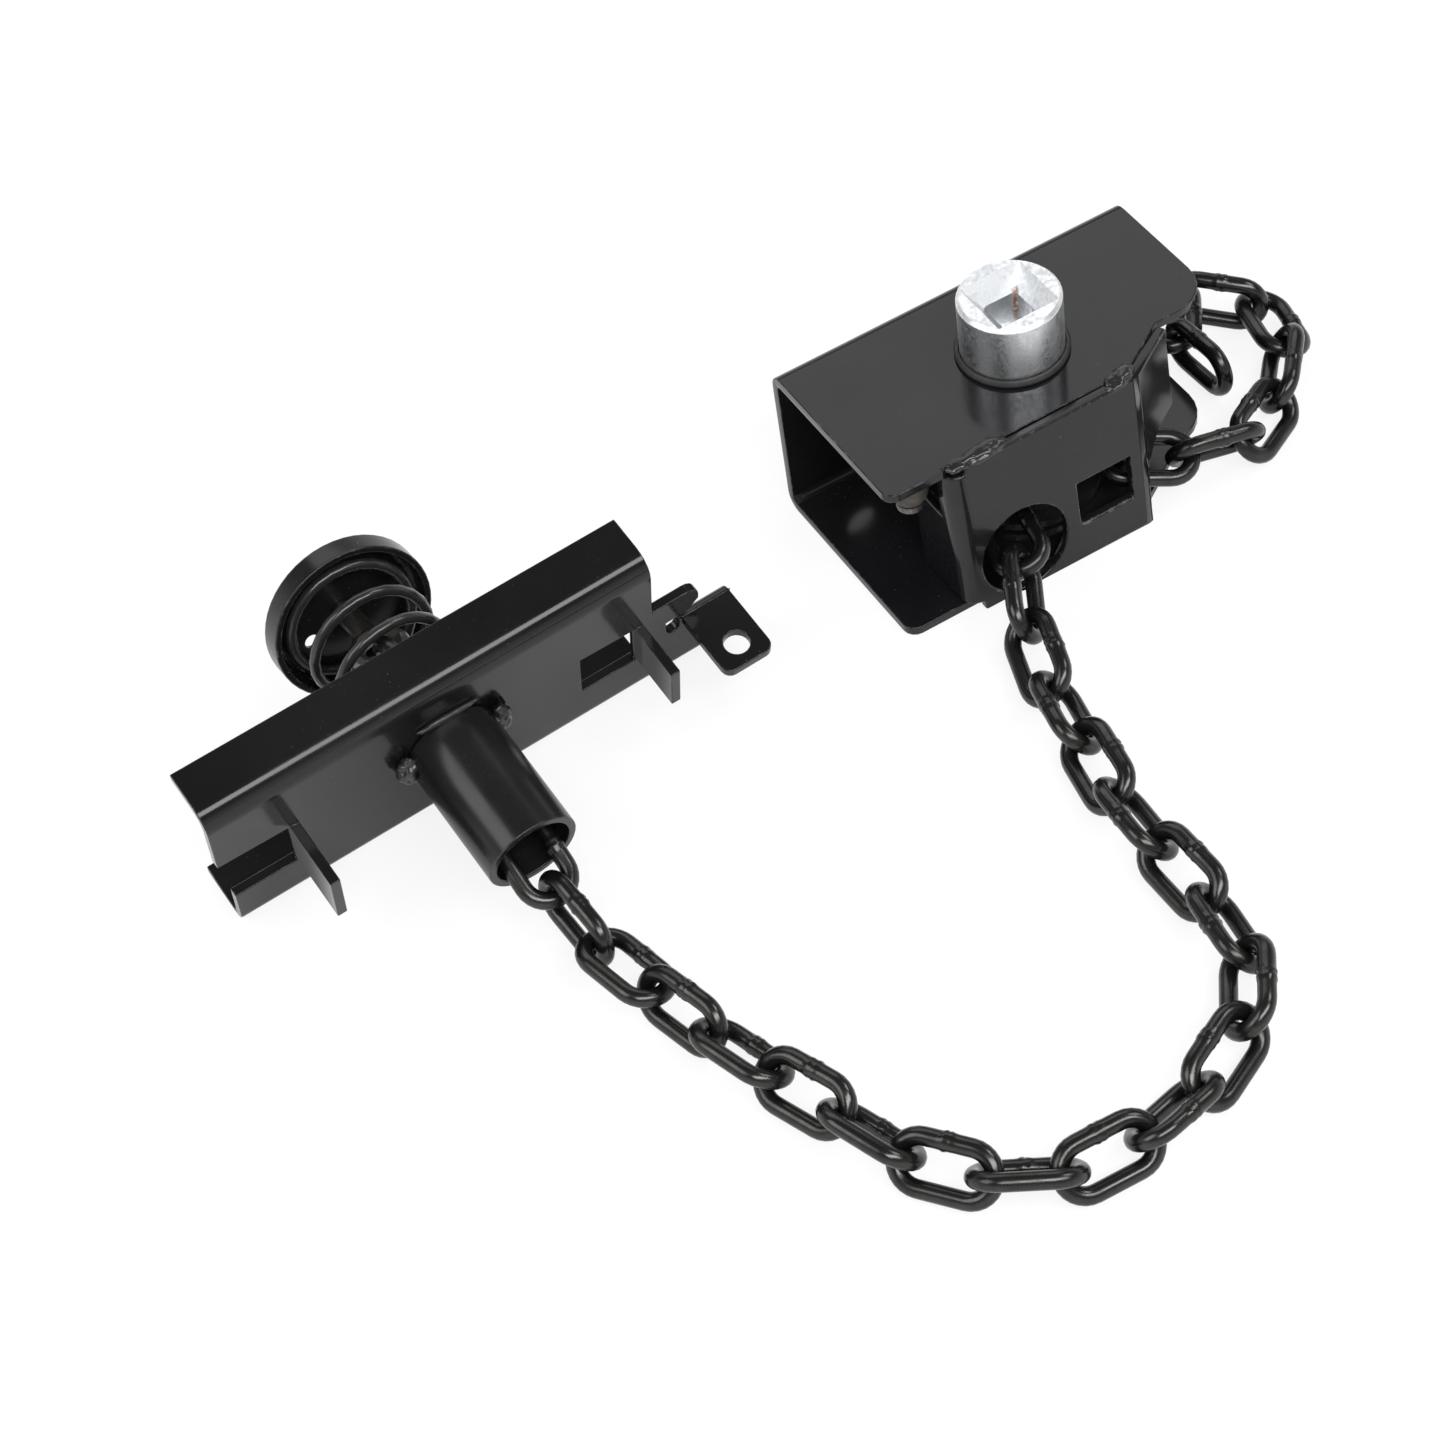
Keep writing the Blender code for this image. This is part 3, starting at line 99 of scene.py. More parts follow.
# small helpers for node trees
def addNode(tree, kind, **values):
    node = tree.nodes.new(kind)
    for name, value in values.items():
        node.inputs[name].default_value = value
    return node


def mathNode(tree, operation, first, second, clamp=False):
    node = tree.nodes.new("ShaderNodeMath")
    node.operation = operation
    node.use_clamp = clamp
    for slot, value in zip(node.inputs, (first, second)):
        if isinstance(value, (int, float)):
            slot.default_value = value
        else:
            tree.links.new(value, slot)
    return node.outputs[0]


def ramp(tree, source, low, high, lowOut=0.0, highOut=1.0):
    node = tree.nodes.new("ShaderNodeMapRange")
    node.interpolation_type = "SMOOTHSTEP"
    tree.links.new(source, node.inputs["Value"])
    for name, value in (("From Min", low), ("From Max", high), ("To Min", lowOut), ("To Max", highOut)):
        if isinstance(value, (int, float)):
            node.inputs[name].default_value = value
        else:
            tree.links.new(value, node.inputs[name])
    return node.outputs["Result"]


def mixColour(tree, share, first, second):
    node = tree.nodes.new("ShaderNodeMix")
    node.data_type = "RGBA"
    for slot, value in ((node.inputs[0], share), (node.inputs[6], first), (node.inputs[7], second)):
        if isinstance(value, tuple):
            slot.default_value = (*value, 1.0)
        else:
            tree.links.new(value, slot)
    return node.outputs[2]


def noiseAt(tree, place, scale, detail=3.0, rough=0.55):
    node = tree.nodes.new("ShaderNodeTexNoise")
    tree.links.new(place, node.inputs["Vector"])
    if isinstance(scale, (int, float)):
        node.inputs["Scale"].default_value = scale
    else:
        tree.links.new(scale, node.inputs["Scale"])
    node.inputs["Detail"].default_value = detail
    node.inputs["Roughness"].default_value = rough
    return node.outputs["Fac"]


def newGroup(name, inputs, outputs):
    tree = bpy.data.node_groups.new(name, "ShaderNodeTree")
    for label, kind, value in inputs:
        socket = tree.interface.new_socket(label, in_out="INPUT", socket_type=kind)
        if value is not None:
            socket.default_value = value
    for label, kind in outputs:
        tree.interface.new_socket(label, in_out="OUTPUT", socket_type=kind)
    return tree, tree.nodes.new("NodeGroupInput").outputs, tree.nodes.new("NodeGroupOutput").inputs


floatKind, vectorKind, colourKind = "NodeSocketFloat", "NodeSocketVector", "NodeSocketColor"


# paint skin: cloudy gloss, orange peel, pale dust specks and lighter worn edges
# each noise is scale, detail and roughness, each edge is where a mask begins and ends
paintSet = {
    "cloud": (26.0, 4.0), "smear": (90.0, 5.0, 0.65), "speck": (1500.0, 1.0), "chip": (260.0, 4.0, 0.7),
    "peel": (620.0, 2.0, 0.5), "wave": (75.0, 1.0),
    "cloudEdge": (0.15, 0.85), "smearEdge": (0.42, 0.62), "speckEdge": (0.735, 0.77), "chipEdge": (0.5, 0.68),
    "glossEdge": (0.25, 0.8), "cloudShare": 0.55, "smearShare": 0.45, "speckRough": 0.3,
    "peelHeight": 0.12, "speckHeight": 0.6, "dustColour": (0.16, 0.155, 0.145),
}


def paintGroup():
    tree, given, out = newGroup(
        "paintSkin",
        [("Vector", vectorKind, None), ("Edge", floatKind, 0.0), ("Dark", colourKind, (0.01, 0.01, 0.011, 1)),
         ("Light", colourKind, (0.02, 0.02, 0.021, 1)), ("Worn", colourKind, (0.1, 0.1, 0.1, 1)),
         ("Smooth", floatKind, 0.14), ("Dull", floatKind, 0.28), ("Dust", floatKind, 0.5),
         ("Wear", floatKind, 0.5)],
        [("Color", colourKind), ("Roughness", floatKind), ("Height", floatKind)],
    )
    place = given["Vector"]
    cloud = noiseAt(tree, place, *paintSet["cloud"])
    smear = noiseAt(tree, place, *paintSet["smear"])
    speck = noiseAt(tree, place, *paintSet["speck"])
    speck = ramp(tree, speck, *paintSet["speckEdge"])
    speck = mathNode(tree, "MULTIPLY", speck, ramp(tree, smear, *paintSet["smearEdge"]))
    speck = mathNode(tree, "MULTIPLY", speck, given["Dust"], True)
    chip = noiseAt(tree, place, *paintSet["chip"])
    chip = mathNode(tree, "MULTIPLY", ramp(tree, chip, *paintSet["chipEdge"]), given["Edge"])
    chip = mathNode(tree, "MULTIPLY", chip, given["Wear"], True)
    colour = mixColour(tree, ramp(tree, cloud, *paintSet["cloudEdge"]), given["Dark"], given["Light"])
    colour = mixColour(tree, speck, colour, paintSet["dustColour"])
    colour = mixColour(tree, chip, colour, given["Worn"])
    cloudPart = mathNode(tree, "MULTIPLY", cloud, paintSet["cloudShare"])
    smearPart = mathNode(tree, "MULTIPLY", smear, paintSet["smearShare"])
    dull = mathNode(tree, "ADD", cloudPart, smearPart)
    gloss = ramp(tree, dull, *paintSet["glossEdge"], given["Smooth"], given["Dull"])
    gloss = mathNode(tree, "ADD", gloss, mathNode(tree, "MULTIPLY", speck, paintSet["speckRough"]), True)
    peel = noiseAt(tree, place, *paintSet["peel"])
    wave = noiseAt(tree, place, *paintSet["wave"])
    height = mathNode(tree, "ADD", mathNode(tree, "MULTIPLY", peel, paintSet["peelHeight"]), wave)
    height = mathNode(tree, "ADD", height, mathNode(tree, "MULTIPLY", speck, paintSet["speckHeight"]))
    tree.links.new(colour, out["Color"])
    tree.links.new(gloss, out["Roughness"])
    tree.links.new(height, out["Height"])
    return tree


# metal skin: fine grain, blotches, stains in a second colour
metalSet = {
    "grain": (4.0, 0.7), "blotch": (70.0, 4.0, 0.6), "stain": (140.0, 5.0, 0.7), "stainEdge": (0.5, 0.74),
    "colourEdge": (0.36, 0.64), "roughEdge": (0.34, 0.66), "grainShare": 0.6, "blotchShare": 0.4,
    "stainRough": 0.25, "blotchHeight": 0.5,
}


def metalGroup():
    tree, given, out = newGroup(
        "metalSkin",
        [("Vector", vectorKind, None), ("Bright", colourKind, (0.5, 0.5, 0.5, 1)),
         ("Dim", colourKind, (0.3, 0.3, 0.3, 1)), ("Stain", colourKind, (0.1, 0.06, 0.03, 1)),
         ("Grain", floatKind, 900.0), ("Stained", floatKind, 0.2), ("Smooth", floatKind, 0.25),
         ("Dull", floatKind, 0.45)],
        [("Color", colourKind), ("Roughness", floatKind), ("Height", floatKind)],
    )
    place = given["Vector"]
    grain = noiseAt(tree, place, given["Grain"], *metalSet["grain"])
    blotch = noiseAt(tree, place, *metalSet["blotch"])
    stain = ramp(tree, noiseAt(tree, place, *metalSet["stain"]), *metalSet["stainEdge"])
    stain = mathNode(tree, "MULTIPLY", stain, given["Stained"], True)
    grainPart = mathNode(tree, "MULTIPLY", grain, metalSet["grainShare"])
    blotchPart = mathNode(tree, "MULTIPLY", blotch, metalSet["blotchShare"])
    share = mathNode(tree, "ADD", grainPart, blotchPart)
    colour = mixColour(tree, ramp(tree, share, *metalSet["colourEdge"]), given["Dim"], given["Bright"])
    colour = mixColour(tree, stain, colour, given["Stain"])
    rough = ramp(tree, share, *metalSet["roughEdge"], given["Dull"], given["Smooth"])
    rough = mathNode(tree, "ADD", rough, mathNode(tree, "MULTIPLY", stain, metalSet["stainRough"]), True)
    height = mathNode(tree, "ADD", grain, mathNode(tree, "MULTIPLY", blotch, metalSet["blotchHeight"]))
    tree.links.new(colour, out["Color"])
    tree.links.new(rough, out["Roughness"])
    tree.links.new(height, out["Height"])
    return tree


paintSkin = paintGroup()
metalSkin = metalGroup()


def newFinish(name, group, values, bump=0.05, deep=0.2, **constants):
    # a material around one skin group; constants go on the shader's own sockets
    finish = bpy.data.materials.new(name)
    finish.use_nodes = True
    tree = finish.node_tree
    shader = tree.nodes["Principled BSDF"]
    place = tree.nodes.new("ShaderNodeTexCoord")
    skin = tree.nodes.new("ShaderNodeGroup")
    skin.node_tree = group
    tree.links.new(place.outputs["Object"], skin.inputs["Vector"])
    for label, value in values.items():
        skin.inputs[label].default_value = (*value, 1.0) if isinstance(value, tuple) else value
    if "Edge" in skin.inputs:
        edge = tree.nodes.new("ShaderNodeAttribute")
        edge.attribute_name = "wornEdge"
        tree.links.new(edge.outputs["Fac"], skin.inputs["Edge"])
    relief = tree.nodes.new("ShaderNodeBump")
    relief.inputs["Strength"].default_value = bump
    relief.inputs["Distance"].default_value = deep * mm
    tree.links.new(skin.outputs["Height"], relief.inputs["Height"])
    tree.links.new(skin.outputs["Color"], shader.inputs["Base Color"])
    tree.links.new(skin.outputs["Roughness"], shader.inputs["Roughness"])
    tree.links.new(relief.outputs["Normal"], shader.inputs["Normal"])
    for label, value in constants.items():
        shader.inputs[label.replace("_", " ")].default_value = value
    return finish


housingPaint = newFinish(
    "housingPaint", paintSkin,
    {"Dark": (0.005, 0.005, 0.006), "Light": (0.010, 0.010, 0.011), "Worn": (0.11, 0.11, 0.11),
     "Smooth": 0.10, "Dull": 0.20, "Dust": 0.35, "Wear": 0.55},
    Specular_IOR_Level=0.33,
)
carrierPaint = newFinish(
    "carrierPaint", paintSkin,
    {"Dark": (0.004, 0.004, 0.004), "Light": (0.008, 0.008, 0.008), "Worn": (0.09, 0.09, 0.09),
     "Smooth": 0.10, "Dull": 0.20, "Dust": 0.25, "Wear": 0.4},
    Specular_IOR_Level=0.34,
)
dishPaint = newFinish(
    "dishPaint", paintSkin,
    {"Dark": (0.005, 0.005, 0.005), "Light": (0.010, 0.010, 0.010), "Worn": (0.10, 0.10, 0.10),
     "Smooth": 0.16, "Dull": 0.32, "Dust": 0.6, "Wear": 0.6},
    Specular_IOR_Level=0.36,
)
tubePaint = newFinish(
    "tubePaint", paintSkin,
    {"Dark": (0.005, 0.005, 0.005), "Light": (0.010, 0.010, 0.010), "Worn": (0.08, 0.08, 0.08),
     "Smooth": 0.20, "Dull": 0.30, "Dust": 0.15, "Wear": 0.3},
    Specular_IOR_Level=0.36,
)
weldPaint = newFinish(
    "weldPaint", paintSkin,
    {"Dark": (0.009, 0.009, 0.009), "Light": (0.022, 0.021, 0.020), "Worn": (0.10, 0.08, 0.06),
     "Smooth": 0.14, "Dull": 0.34, "Dust": 0.5, "Wear": 0.4},
    bump=0.25, deep=0.3,
)
springPaint = newFinish(
    "springPaint", paintSkin,
    {"Dark": (0.010, 0.010, 0.010), "Light": (0.022, 0.022, 0.021), "Worn": (0.12, 0.12, 0.12),
     "Smooth": 0.16, "Dull": 0.30, "Dust": 0.6, "Wear": 0.0},
)
chainSteel = newFinish(
    "chainSteel", metalSkin,
    {"Bright": (0.054, 0.054, 0.053), "Dim": (0.036, 0.036, 0.035), "Stain": (0.030, 0.026, 0.022),
     "Grain": 170.0, "Stained": 0.25, "Smooth": 0.18, "Dull": 0.27},
    bump=0.02, deep=0.2, Metallic=0.9,
)
socketZinc = newFinish(
    "socketZinc", metalSkin,
    {"Bright": (0.90, 0.91, 0.92), "Dim": (0.62, 0.64, 0.66), "Stain": (0.42, 0.41, 0.37),
     "Grain": 800.0, "Stained": 0.35, "Smooth": 0.26, "Dull": 0.48},
    bump=0.12, deep=0.15, Metallic=1.0,
)
innerSteel = newFinish(
    "innerSteel", metalSkin,
    {"Bright": (0.20, 0.195, 0.185), "Dim": (0.10, 0.098, 0.095), "Stain": (0.06, 0.04, 0.025),
     "Grain": 600.0, "Stained": 0.5, "Smooth": 0.30, "Dull": 0.5},
    bump=0.1, Metallic=1.0,
)
bearingBronze = newFinish(
    "bearingBronze", metalSkin,
    {"Bright": (0.42, 0.29, 0.14), "Dim": (0.26, 0.17, 0.08), "Stain": (0.08, 0.05, 0.03),
     "Grain": 700.0, "Stained": 0.4, "Smooth": 0.3, "Dull": 0.45},
    bump=0.1, Metallic=1.0,
)
stopRubber = newFinish(
    "stopRubber", metalSkin,
    {"Bright": (0.060, 0.052, 0.042), "Dim": (0.030, 0.026, 0.022), "Stain": (0.09, 0.075, 0.055),
     "Grain": 500.0, "Stained": 0.4, "Smooth": 0.42, "Dull": 0.62},
    bump=0.2,
)
sealRubber = newFinish(
    "sealRubber", metalSkin,
    {"Bright": (0.022, 0.022, 0.022), "Dim": (0.011, 0.011, 0.011), "Stain": (0.05, 0.045, 0.04),
     "Grain": 700.0, "Stained": 0.3, "Smooth": 0.35, "Dull": 0.55},
    bump=0.15,
)


# rust in the socket's far inner corner
rustSet = {"place": (5.4, 5.4, 64.5), "reach": (1.6, 1.6, 7.5), "colour": (0.17, 0.065, 0.02),
           "grain": (700.0, 4.0, 0.7), "grainEdge": (0.32, 0.5), "fade": (0.3, 1.3, 1.0, 0.0), "rough": 0.4}


def addRust(finish):
    tree = finish.node_tree
    shader = tree.nodes["Principled BSDF"]
    place = tree.nodes.new("ShaderNodeTexCoord").outputs["Object"]
    spot = tree.nodes.new("ShaderNodeMapping")
    spot.vector_type = "TEXTURE"
    spot.inputs["Location"].default_value = Vector(rustSet["place"]) * mm
    spot.inputs["Scale"].default_value = Vector(rustSet["reach"]) * mm
    tree.links.new(place, spot.inputs["Vector"])
    away = tree.nodes.new("ShaderNodeVectorMath")
    away.operation = "LENGTH"
    tree.links.new(spot.outputs["Vector"], away.inputs[0])
    grain = noiseAt(tree, place, *rustSet["grain"])
    mask = ramp(tree, away.outputs["Value"], *rustSet["fade"])
    mask = mathNode(tree, "MULTIPLY", mask, ramp(tree, grain, *rustSet["grainEdge"]), True)
    plain = shader.inputs["Base Color"].links[0].from_socket
    tree.links.new(mixColour(tree, mask, plain, rustSet["colour"]), shader.inputs["Base Color"])
    rough = shader.inputs["Roughness"].links[0].from_socket
    rough = mathNode(tree, "ADD", rough, mathNode(tree, "MULTIPLY", mask, rustSet["rough"]), True)
    tree.links.new(rough, shader.inputs["Roughness"])
    tree.links.new(mathNode(tree, "SUBTRACT", 1.0, mask, True), shader.inputs["Metallic"])


addRust(socketZinc)
print("finishes made")


# shared mesh work
def closeShape(shape, name, finish, body, stands=(), weighted=False):
    mesh = bpy.data.meshes.new(name)
    bmesh.ops.recalc_face_normals(shape, faces=shape.faces)
    for face in shape.faces:
        face.smooth = True
    shape.to_mesh(mesh)
    shape.free()
    return addPiece(mesh, name, finish, body, stands, weighted)


def addPiece(mesh, name, finish, body, stands=(), weighted=False):
    piece = bpy.data.objects.new(name, mesh)
    scene.collection.objects.link(piece)
    mesh.materials.clear()
    mesh.materials.append(finish)
    if weighted:
        flatten = piece.modifiers.new("flatFaces", "WEIGHTED_NORMAL")
        flatten.mode = "FACE_AREA"
        flatten.weight = 100
        flatten.keep_sharp = True
    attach(piece, body)
    if stands:
        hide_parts(*stands)
    return piece


edgeSet = {"segments": 3, "sharp": math.radians(32.0), "shortest": 0.7, "weld": 0.01, "socketMouth": 0.25}


def softenEdges(shape, width, crisp=1.0):
    # rounds the sharp edges and marks them for the paint's wear; edges between upward faces can stay crisp
    worn = shape.faces.layers.float.new("wornEdge")
    for edge in shape.edges:
        if edge.is_manifold and min(face.normal.z for face in edge.link_faces) >= crisp:
            edge.smooth = edge.calc_face_angle(0.0) < edgeSet["sharp"] / 2
    hard = [
        edge for edge in shape.edges
        if edge.is_manifold and edge.calc_face_angle(0.0) > edgeSet["sharp"]
        and edge.calc_length() > edgeSet["shortest"] * mm
        and min(face.normal.z for face in edge.link_faces) < crisp
    ]
    made = bmesh.ops.bevel(
        shape, geom=hard, offset=width * mm, offset_type="OFFSET", segments=edgeSet["segments"], profile=0.5,
        affect="EDGES", clamp_overlap=False, loop_slide=True, material=-1,
    )
    for face in made["faces"]:
        face[worn] = 1.0


def nodeShape(name):
    # a merged copy of a CAD node with its flat faces made whole
    shape = bmesh.new()
    shape.from_mesh(nodes[name].data)
    bmesh.ops.remove_doubles(shape, verts=shape.verts, dist=edgeSet["weld"] * mm)
    bmesh.ops.dissolve_limit(
        shape, angle_limit=math.radians(0.4), verts=shape.verts, edges=shape.edges,
        use_dissolve_boundaries=False,
    )
    return shape


# rigid pieces: the CAD shapes with rounded edges, as body, finish, slot and edge width
rigidSet = {
    "bracket": ("housing", housingPaint, "black_paint", 0.35),
    "front_plate": ("housing", housingPaint, "black_paint", 0.75),
    "carrier_bar": ("carrier", carrierPaint, "black_paint", 0.35),
    "guide_tube": ("carrier", tubePaint, "black_paint", 0.45),
    "dish": ("spring_anchor", dishPaint, "black_paint", 0.55),
    "drive_socket": ("drive", socketZinc, "zinc", 0.22),
    "seal_ring": ("housing", sealRubber, "rubber", 0.3),
    "stop_buffer": ("housing", stopRubber, "rubber", 0.5),
}
# the carrier's own axes: along the bar, back from the web and up the web
carrierSet = {"place": (-185.4, -5.2, -1.0), "turn": (0.99351, 0.10881, 0.00361, 0.03296),
              "foldAlong": (67.0, 85.5), "foldBack": 3.0, "foldLevel": 25.4, "foldRound": 3.0,
              "foldSteps": 6, "foldNear": (0.1, 0.15)}
carrierPlace = (
    Matrix.Translation(Vector(carrierSet["place"]) * mm)
    @ Quaternion(carrierSet["turn"]).to_matrix().to_4x4()
)


def roundLockFold(shape):
    # the lock tab's outer fold is bent round, not square
    home = carrierPlace.inverted()
    low, high = carrierSet["foldAlong"]
    nearBack, nearLevel = carrierSet["foldNear"]
    fold = []
    for edge in shape.edges:
        ends = [home @ vert.co / mm for vert in edge.verts]
        if all(low < end.x < high and abs(end.y - carrierSet["foldBack"]) < nearBack
               and abs(end.z - carrierSet["foldLevel"]) < nearLevel for end in ends):
            fold.append(edge)
    bmesh.ops.bevel(
        shape, geom=fold, offset=carrierSet["foldRound"] * mm, offset_type="OFFSET",
        segments=carrierSet["foldSteps"], profile=0.5, affect="EDGES", clamp_overlap=False, material=-1,
    )
    print("lock fold edges:", len(fold))


for name, (body, finish, slot, edge) in rigidSet.items():
    shape = nodeShape(name)
    if name == "carrier_bar":
        roundLockFold(shape)
    softenEdges(shape, edge, crisp=edgeSet["socketMouth"] if name == "drive_socket" else 1.0)
    closeShape(shape, name + "_round", finish, body, [name], weighted=True)
print("rigid pieces rounded")


# welds: lumpy beads, given by their middle, the way they run and their half sizes
weldSet = {
    "seamWeldLeft": {"body": "housing", "middle": (-29.0, -28.6, 53.7), "turn": 4.0,
                     "size": (8.5, 2.8, 1.9), "lump": 0.55, "seed": 2},
    "seamWeldEnd": {"body": "housing", "middle": (-37.5, -28.8, 53.6), "turn": -6.0,
                    "size": (3.6, 2.3, 1.5), "lump": 0.45, "seed": 5},
    "seamWeldRight": {"body": "housing", "middle": (16.8, -28.0, 53.8), "turn": 20.0,
                      "size": (5.2, 2.9, 1.9), "lump": 0.6, "seed": 9},
    "tubeWeldLeft": {"body": "carrier", "middle": (-14.9, 1.8, 2.4), "turn": 80.0,
                     "size": (4.3, 3.0, 2.8), "lump": 0.75, "seed": 14, "onTube": True},
    "tubeWeldRight": {"body": "carrier", "middle": (14.9, 1.8, 2.4), "turn": 100.0,
                      "size": (4.3, 3.0, 2.8), "lump": 0.75, "seed": 21, "onTube": True},
    "tubeSeamTop": {"body": "carrier", "middle": (0.0, 13.9, 0.7), "turn": 0.0,
                    "size": (9.0, 1.1, 1.0), "lump": 0.5, "seed": 30, "onTube": True},
}
tubeSet = {"place": (-192.916, -12.749, 30.73), "turn": (0.62558, 0.77946, 0.02586, 0.02075)}
tubePlace = (
    Matrix.Translation(Vector(tubeSet["place"]) * mm)
    @ Quaternion(tubeSet["turn"]).to_matrix().to_4x4()
)
# how coarse and fine the lumps are, and how far each swells the bead
lumpSet = {"coarse": 0.45, "fine": 1.3, "coarseSwell": 0.55, "fineSwell": 0.35, "apart": 7.3, "splits": 4}


def makeWeld(name, kind):
    shape = bmesh.new()
    bmesh.ops.create_icosphere(shape, subdivisions=lumpSet["splits"], radius=1.0)
    size = Vector(kind["size"])
    shift = Vector((kind["seed"] * lumpSet["apart"], 0, 0))
    for vert in shape.verts:
        spot = vert.co * size
        coarse = noise.noise(spot * lumpSet["coarse"] + shift)
        fine = abs(noise.noise(spot * lumpSet["fine"] + shift))
        grow = 1.0 + kind["lump"] * (lumpSet["coarseSwell"] * coarse + lumpSet["fineSwell"] * fine)
        vert.co = spot * grow * mm
    place = Matrix.Translation(Vector(kind["middle"]) * mm)
    place = place @ Matrix.Rotation(math.radians(kind["turn"]), 4, "Z")
    if kind.get("onTube"):
        place = tubePlace @ place
    bmesh.ops.transform(shape, matrix=place, verts=shape.verts)
    closeShape(shape, name, weldPaint, kind["body"])


for name, kind in weldSet.items():
    makeWeld(name, kind)
print("welds laid:", len(weldSet))


# chain links: one wire loop with a butt-weld collar
linkSet = {
    "wire": 5.0,
    "bowRadius": 6.75,
    "bowAt": 6.4,
    "wireFaces": 20,
    "bowSteps": 14,
    "collar": ((0.0, 0.0), (0.55, 0.0), (0.70, 0.06), (0.80, 0.34), (0.90, 0.42), (1.0, 0.16),
               (1.10, 0.40), (1.20, 0.32), (1.30, 0.06), (1.45, 0.0), (2.0, 0.0)),
    "lump": (0.6, 0.8, 0.1),
    "lumpFine": (1.7, 0.4),
    "apart": 3.1,
    "weld": 0.02,
    "onWheel": 5,
    "inTube": 3,
}


def linkShape(seed):
    wire, bow, at = linkSet["wire"] * mm / 2, linkSet["bowRadius"] * mm, linkSet["bowAt"] * mm
    base, swell, least = linkSet["lump"]
    around, along = linkSet["lumpFine"]
    shape = bmesh.new()
    start = Matrix.Translation((at, bow, 0)) @ Matrix.Rotation(math.pi / 2, 4, "Y")
    bmesh.ops.create_circle(shape, radius=wire, segments=linkSet["wireFaces"], matrix=start)
    ring = list(shape.edges)

    def pushTo(ring, x, rise):
        made = bmesh.ops.extrude_edge_only(shape, edges=ring)["geom"]
        verts = [item for item in made if isinstance(item, bmesh.types.BMVert)]
        middle = sum((vert.co for vert in verts), Vector()) / len(verts)
        for vert in verts:
            out = (vert.co - middle).normalized()
            shift = Vector((seed * linkSet["apart"], x / mm * along, 0))
            lump = base + swell * noise.noise(out * around + shift)
            vert.co = Vector((x, middle.y, 0)) + out * (wire + rise * mm * max(lump, least))
        return [item for item in made if isinstance(item, bmesh.types.BMEdge)]

    for step, rise in linkSet["collar"][1:]:
        ring = pushTo(ring, at * (1.0 - step), rise)
    for side in (-1, 1):
        verts = list({vert for edge in ring for vert in edge.verts})
        made = bmesh.ops.spin(
            shape, geom=ring + verts, cent=(side * at, 0, 0), axis=(0, 0, 1), angle=math.pi,
            steps=linkSet["bowSteps"],
        )["geom_last"]
        ring = [item for item in made if isinstance(item, bmesh.types.BMEdge)]
        if side < 0:
            ring = pushTo(ring, at, 0.0)
    bmesh.ops.remove_doubles(shape, verts=shape.verts, dist=linkSet["weld"] * mm)
    return shape


def linkFrame(name):
    # a link's middle, run and side, from the shape of its CAD node; the collar goes to the upper far side
    points = np.array([vert.co for vert in nodes[name].data.vertices])
    middle = points.mean(0)
    axes = np.linalg.svd(points - middle, full_matrices=False)[2]
    run, side = Vector(axes[0]), Vector(axes[1])
    if side.dot(Vector(cameraSet["up"])) < 0:
        side = -side
    place = Matrix((run, side, run.cross(side))).transposed().to_4x4()
    place.translation = Vector(middle)
    return place


linkBodies = {name: name for name in frame["bodies"] if "link" in name}
linkBodies.update({f"wheel_link_{i + 1}": "housing" for i in range(linkSet["onWheel"])})
linkBodies.update({f"carrier_link_{i + 1}": "spring_anchor" for i in range(linkSet["inTube"])})
for number, (name, body) in enumerate(sorted(linkBodies.items())):
    shape = linkShape(number + 1)
    bmesh.ops.transform(shape, matrix=linkFrame(name), verts=shape.verts)
    closeShape(shape, name + "_wire", chainSteel, body, [name])
print("links laid:", len(linkBodies))


# spring: the CAD's cone of coils, wound finer
springSet = {
    "start": (-193.237, -7.927, 31.801),
    "startTurn": (0.62558, 0.77946, 0.02586, 0.02075),
    "end": (-196.683, 42.832, 34.304),
    "endTurn": (0.01249, -0.03324, 0.67154, -0.74011),
    "wire": 3.3,
    "wireRound": 5,
    "small": 15.5,
    "large": 18.6,
    "turns": 4.25,
    "stepsPerTurn": 28,
    "endTurns": 0.7,
    "endPitch": 4.6,
    "travel": 18.0,
}


def springLine():
    start, end = Vector(springSet["start"]) * mm, Vector(springSet["end"]) * mm
    startTurn, endTurn = Quaternion(springSet["startTurn"]), Quaternion(springSet["endTurn"])
    reach = (end - start).length / 2
    up = Vector((0, 0, 1))
    hold = [start, start - startTurn @ up * reach, end + endTurn @ up * reach, end]
    length = sum((a - b).length for a, b in zip(hold, hold[1:]))
    turns = springSet["turns"]
    endShare = springSet["endPitch"] * mm * springSet["endTurns"] / length
    endPart = springSet["endTurns"] / turns
    count = round(turns * springSet["stepsPerTurn"])
    line = []
    for i in range(count + 1):
        share = i / count
        if share < endPart:
            along = endShare * share / endPart
        elif share > 1 - endPart:
            along = 1 - endShare * (1 - share) / endPart
        else:
            along = endShare + (1 - 2 * endShare) * (share - endPart) / (1 - 2 * endPart)
        rest = 1 - along
        middle = (hold[0] * rest ** 3 + hold[1] * 3 * rest ** 2 * along
                  + hold[2] * 3 * rest * along ** 2 + hold[3] * along ** 3)
        radius = (springSet["small"] + (springSet["large"] - springSet["small"]) * share) * mm
        angle = math.tau * turns * share
        out = startTurn.slerp(endTurn, along) @ Vector((math.cos(angle), math.sin(angle), 0))
        line.append(middle + out * radius)
    return line


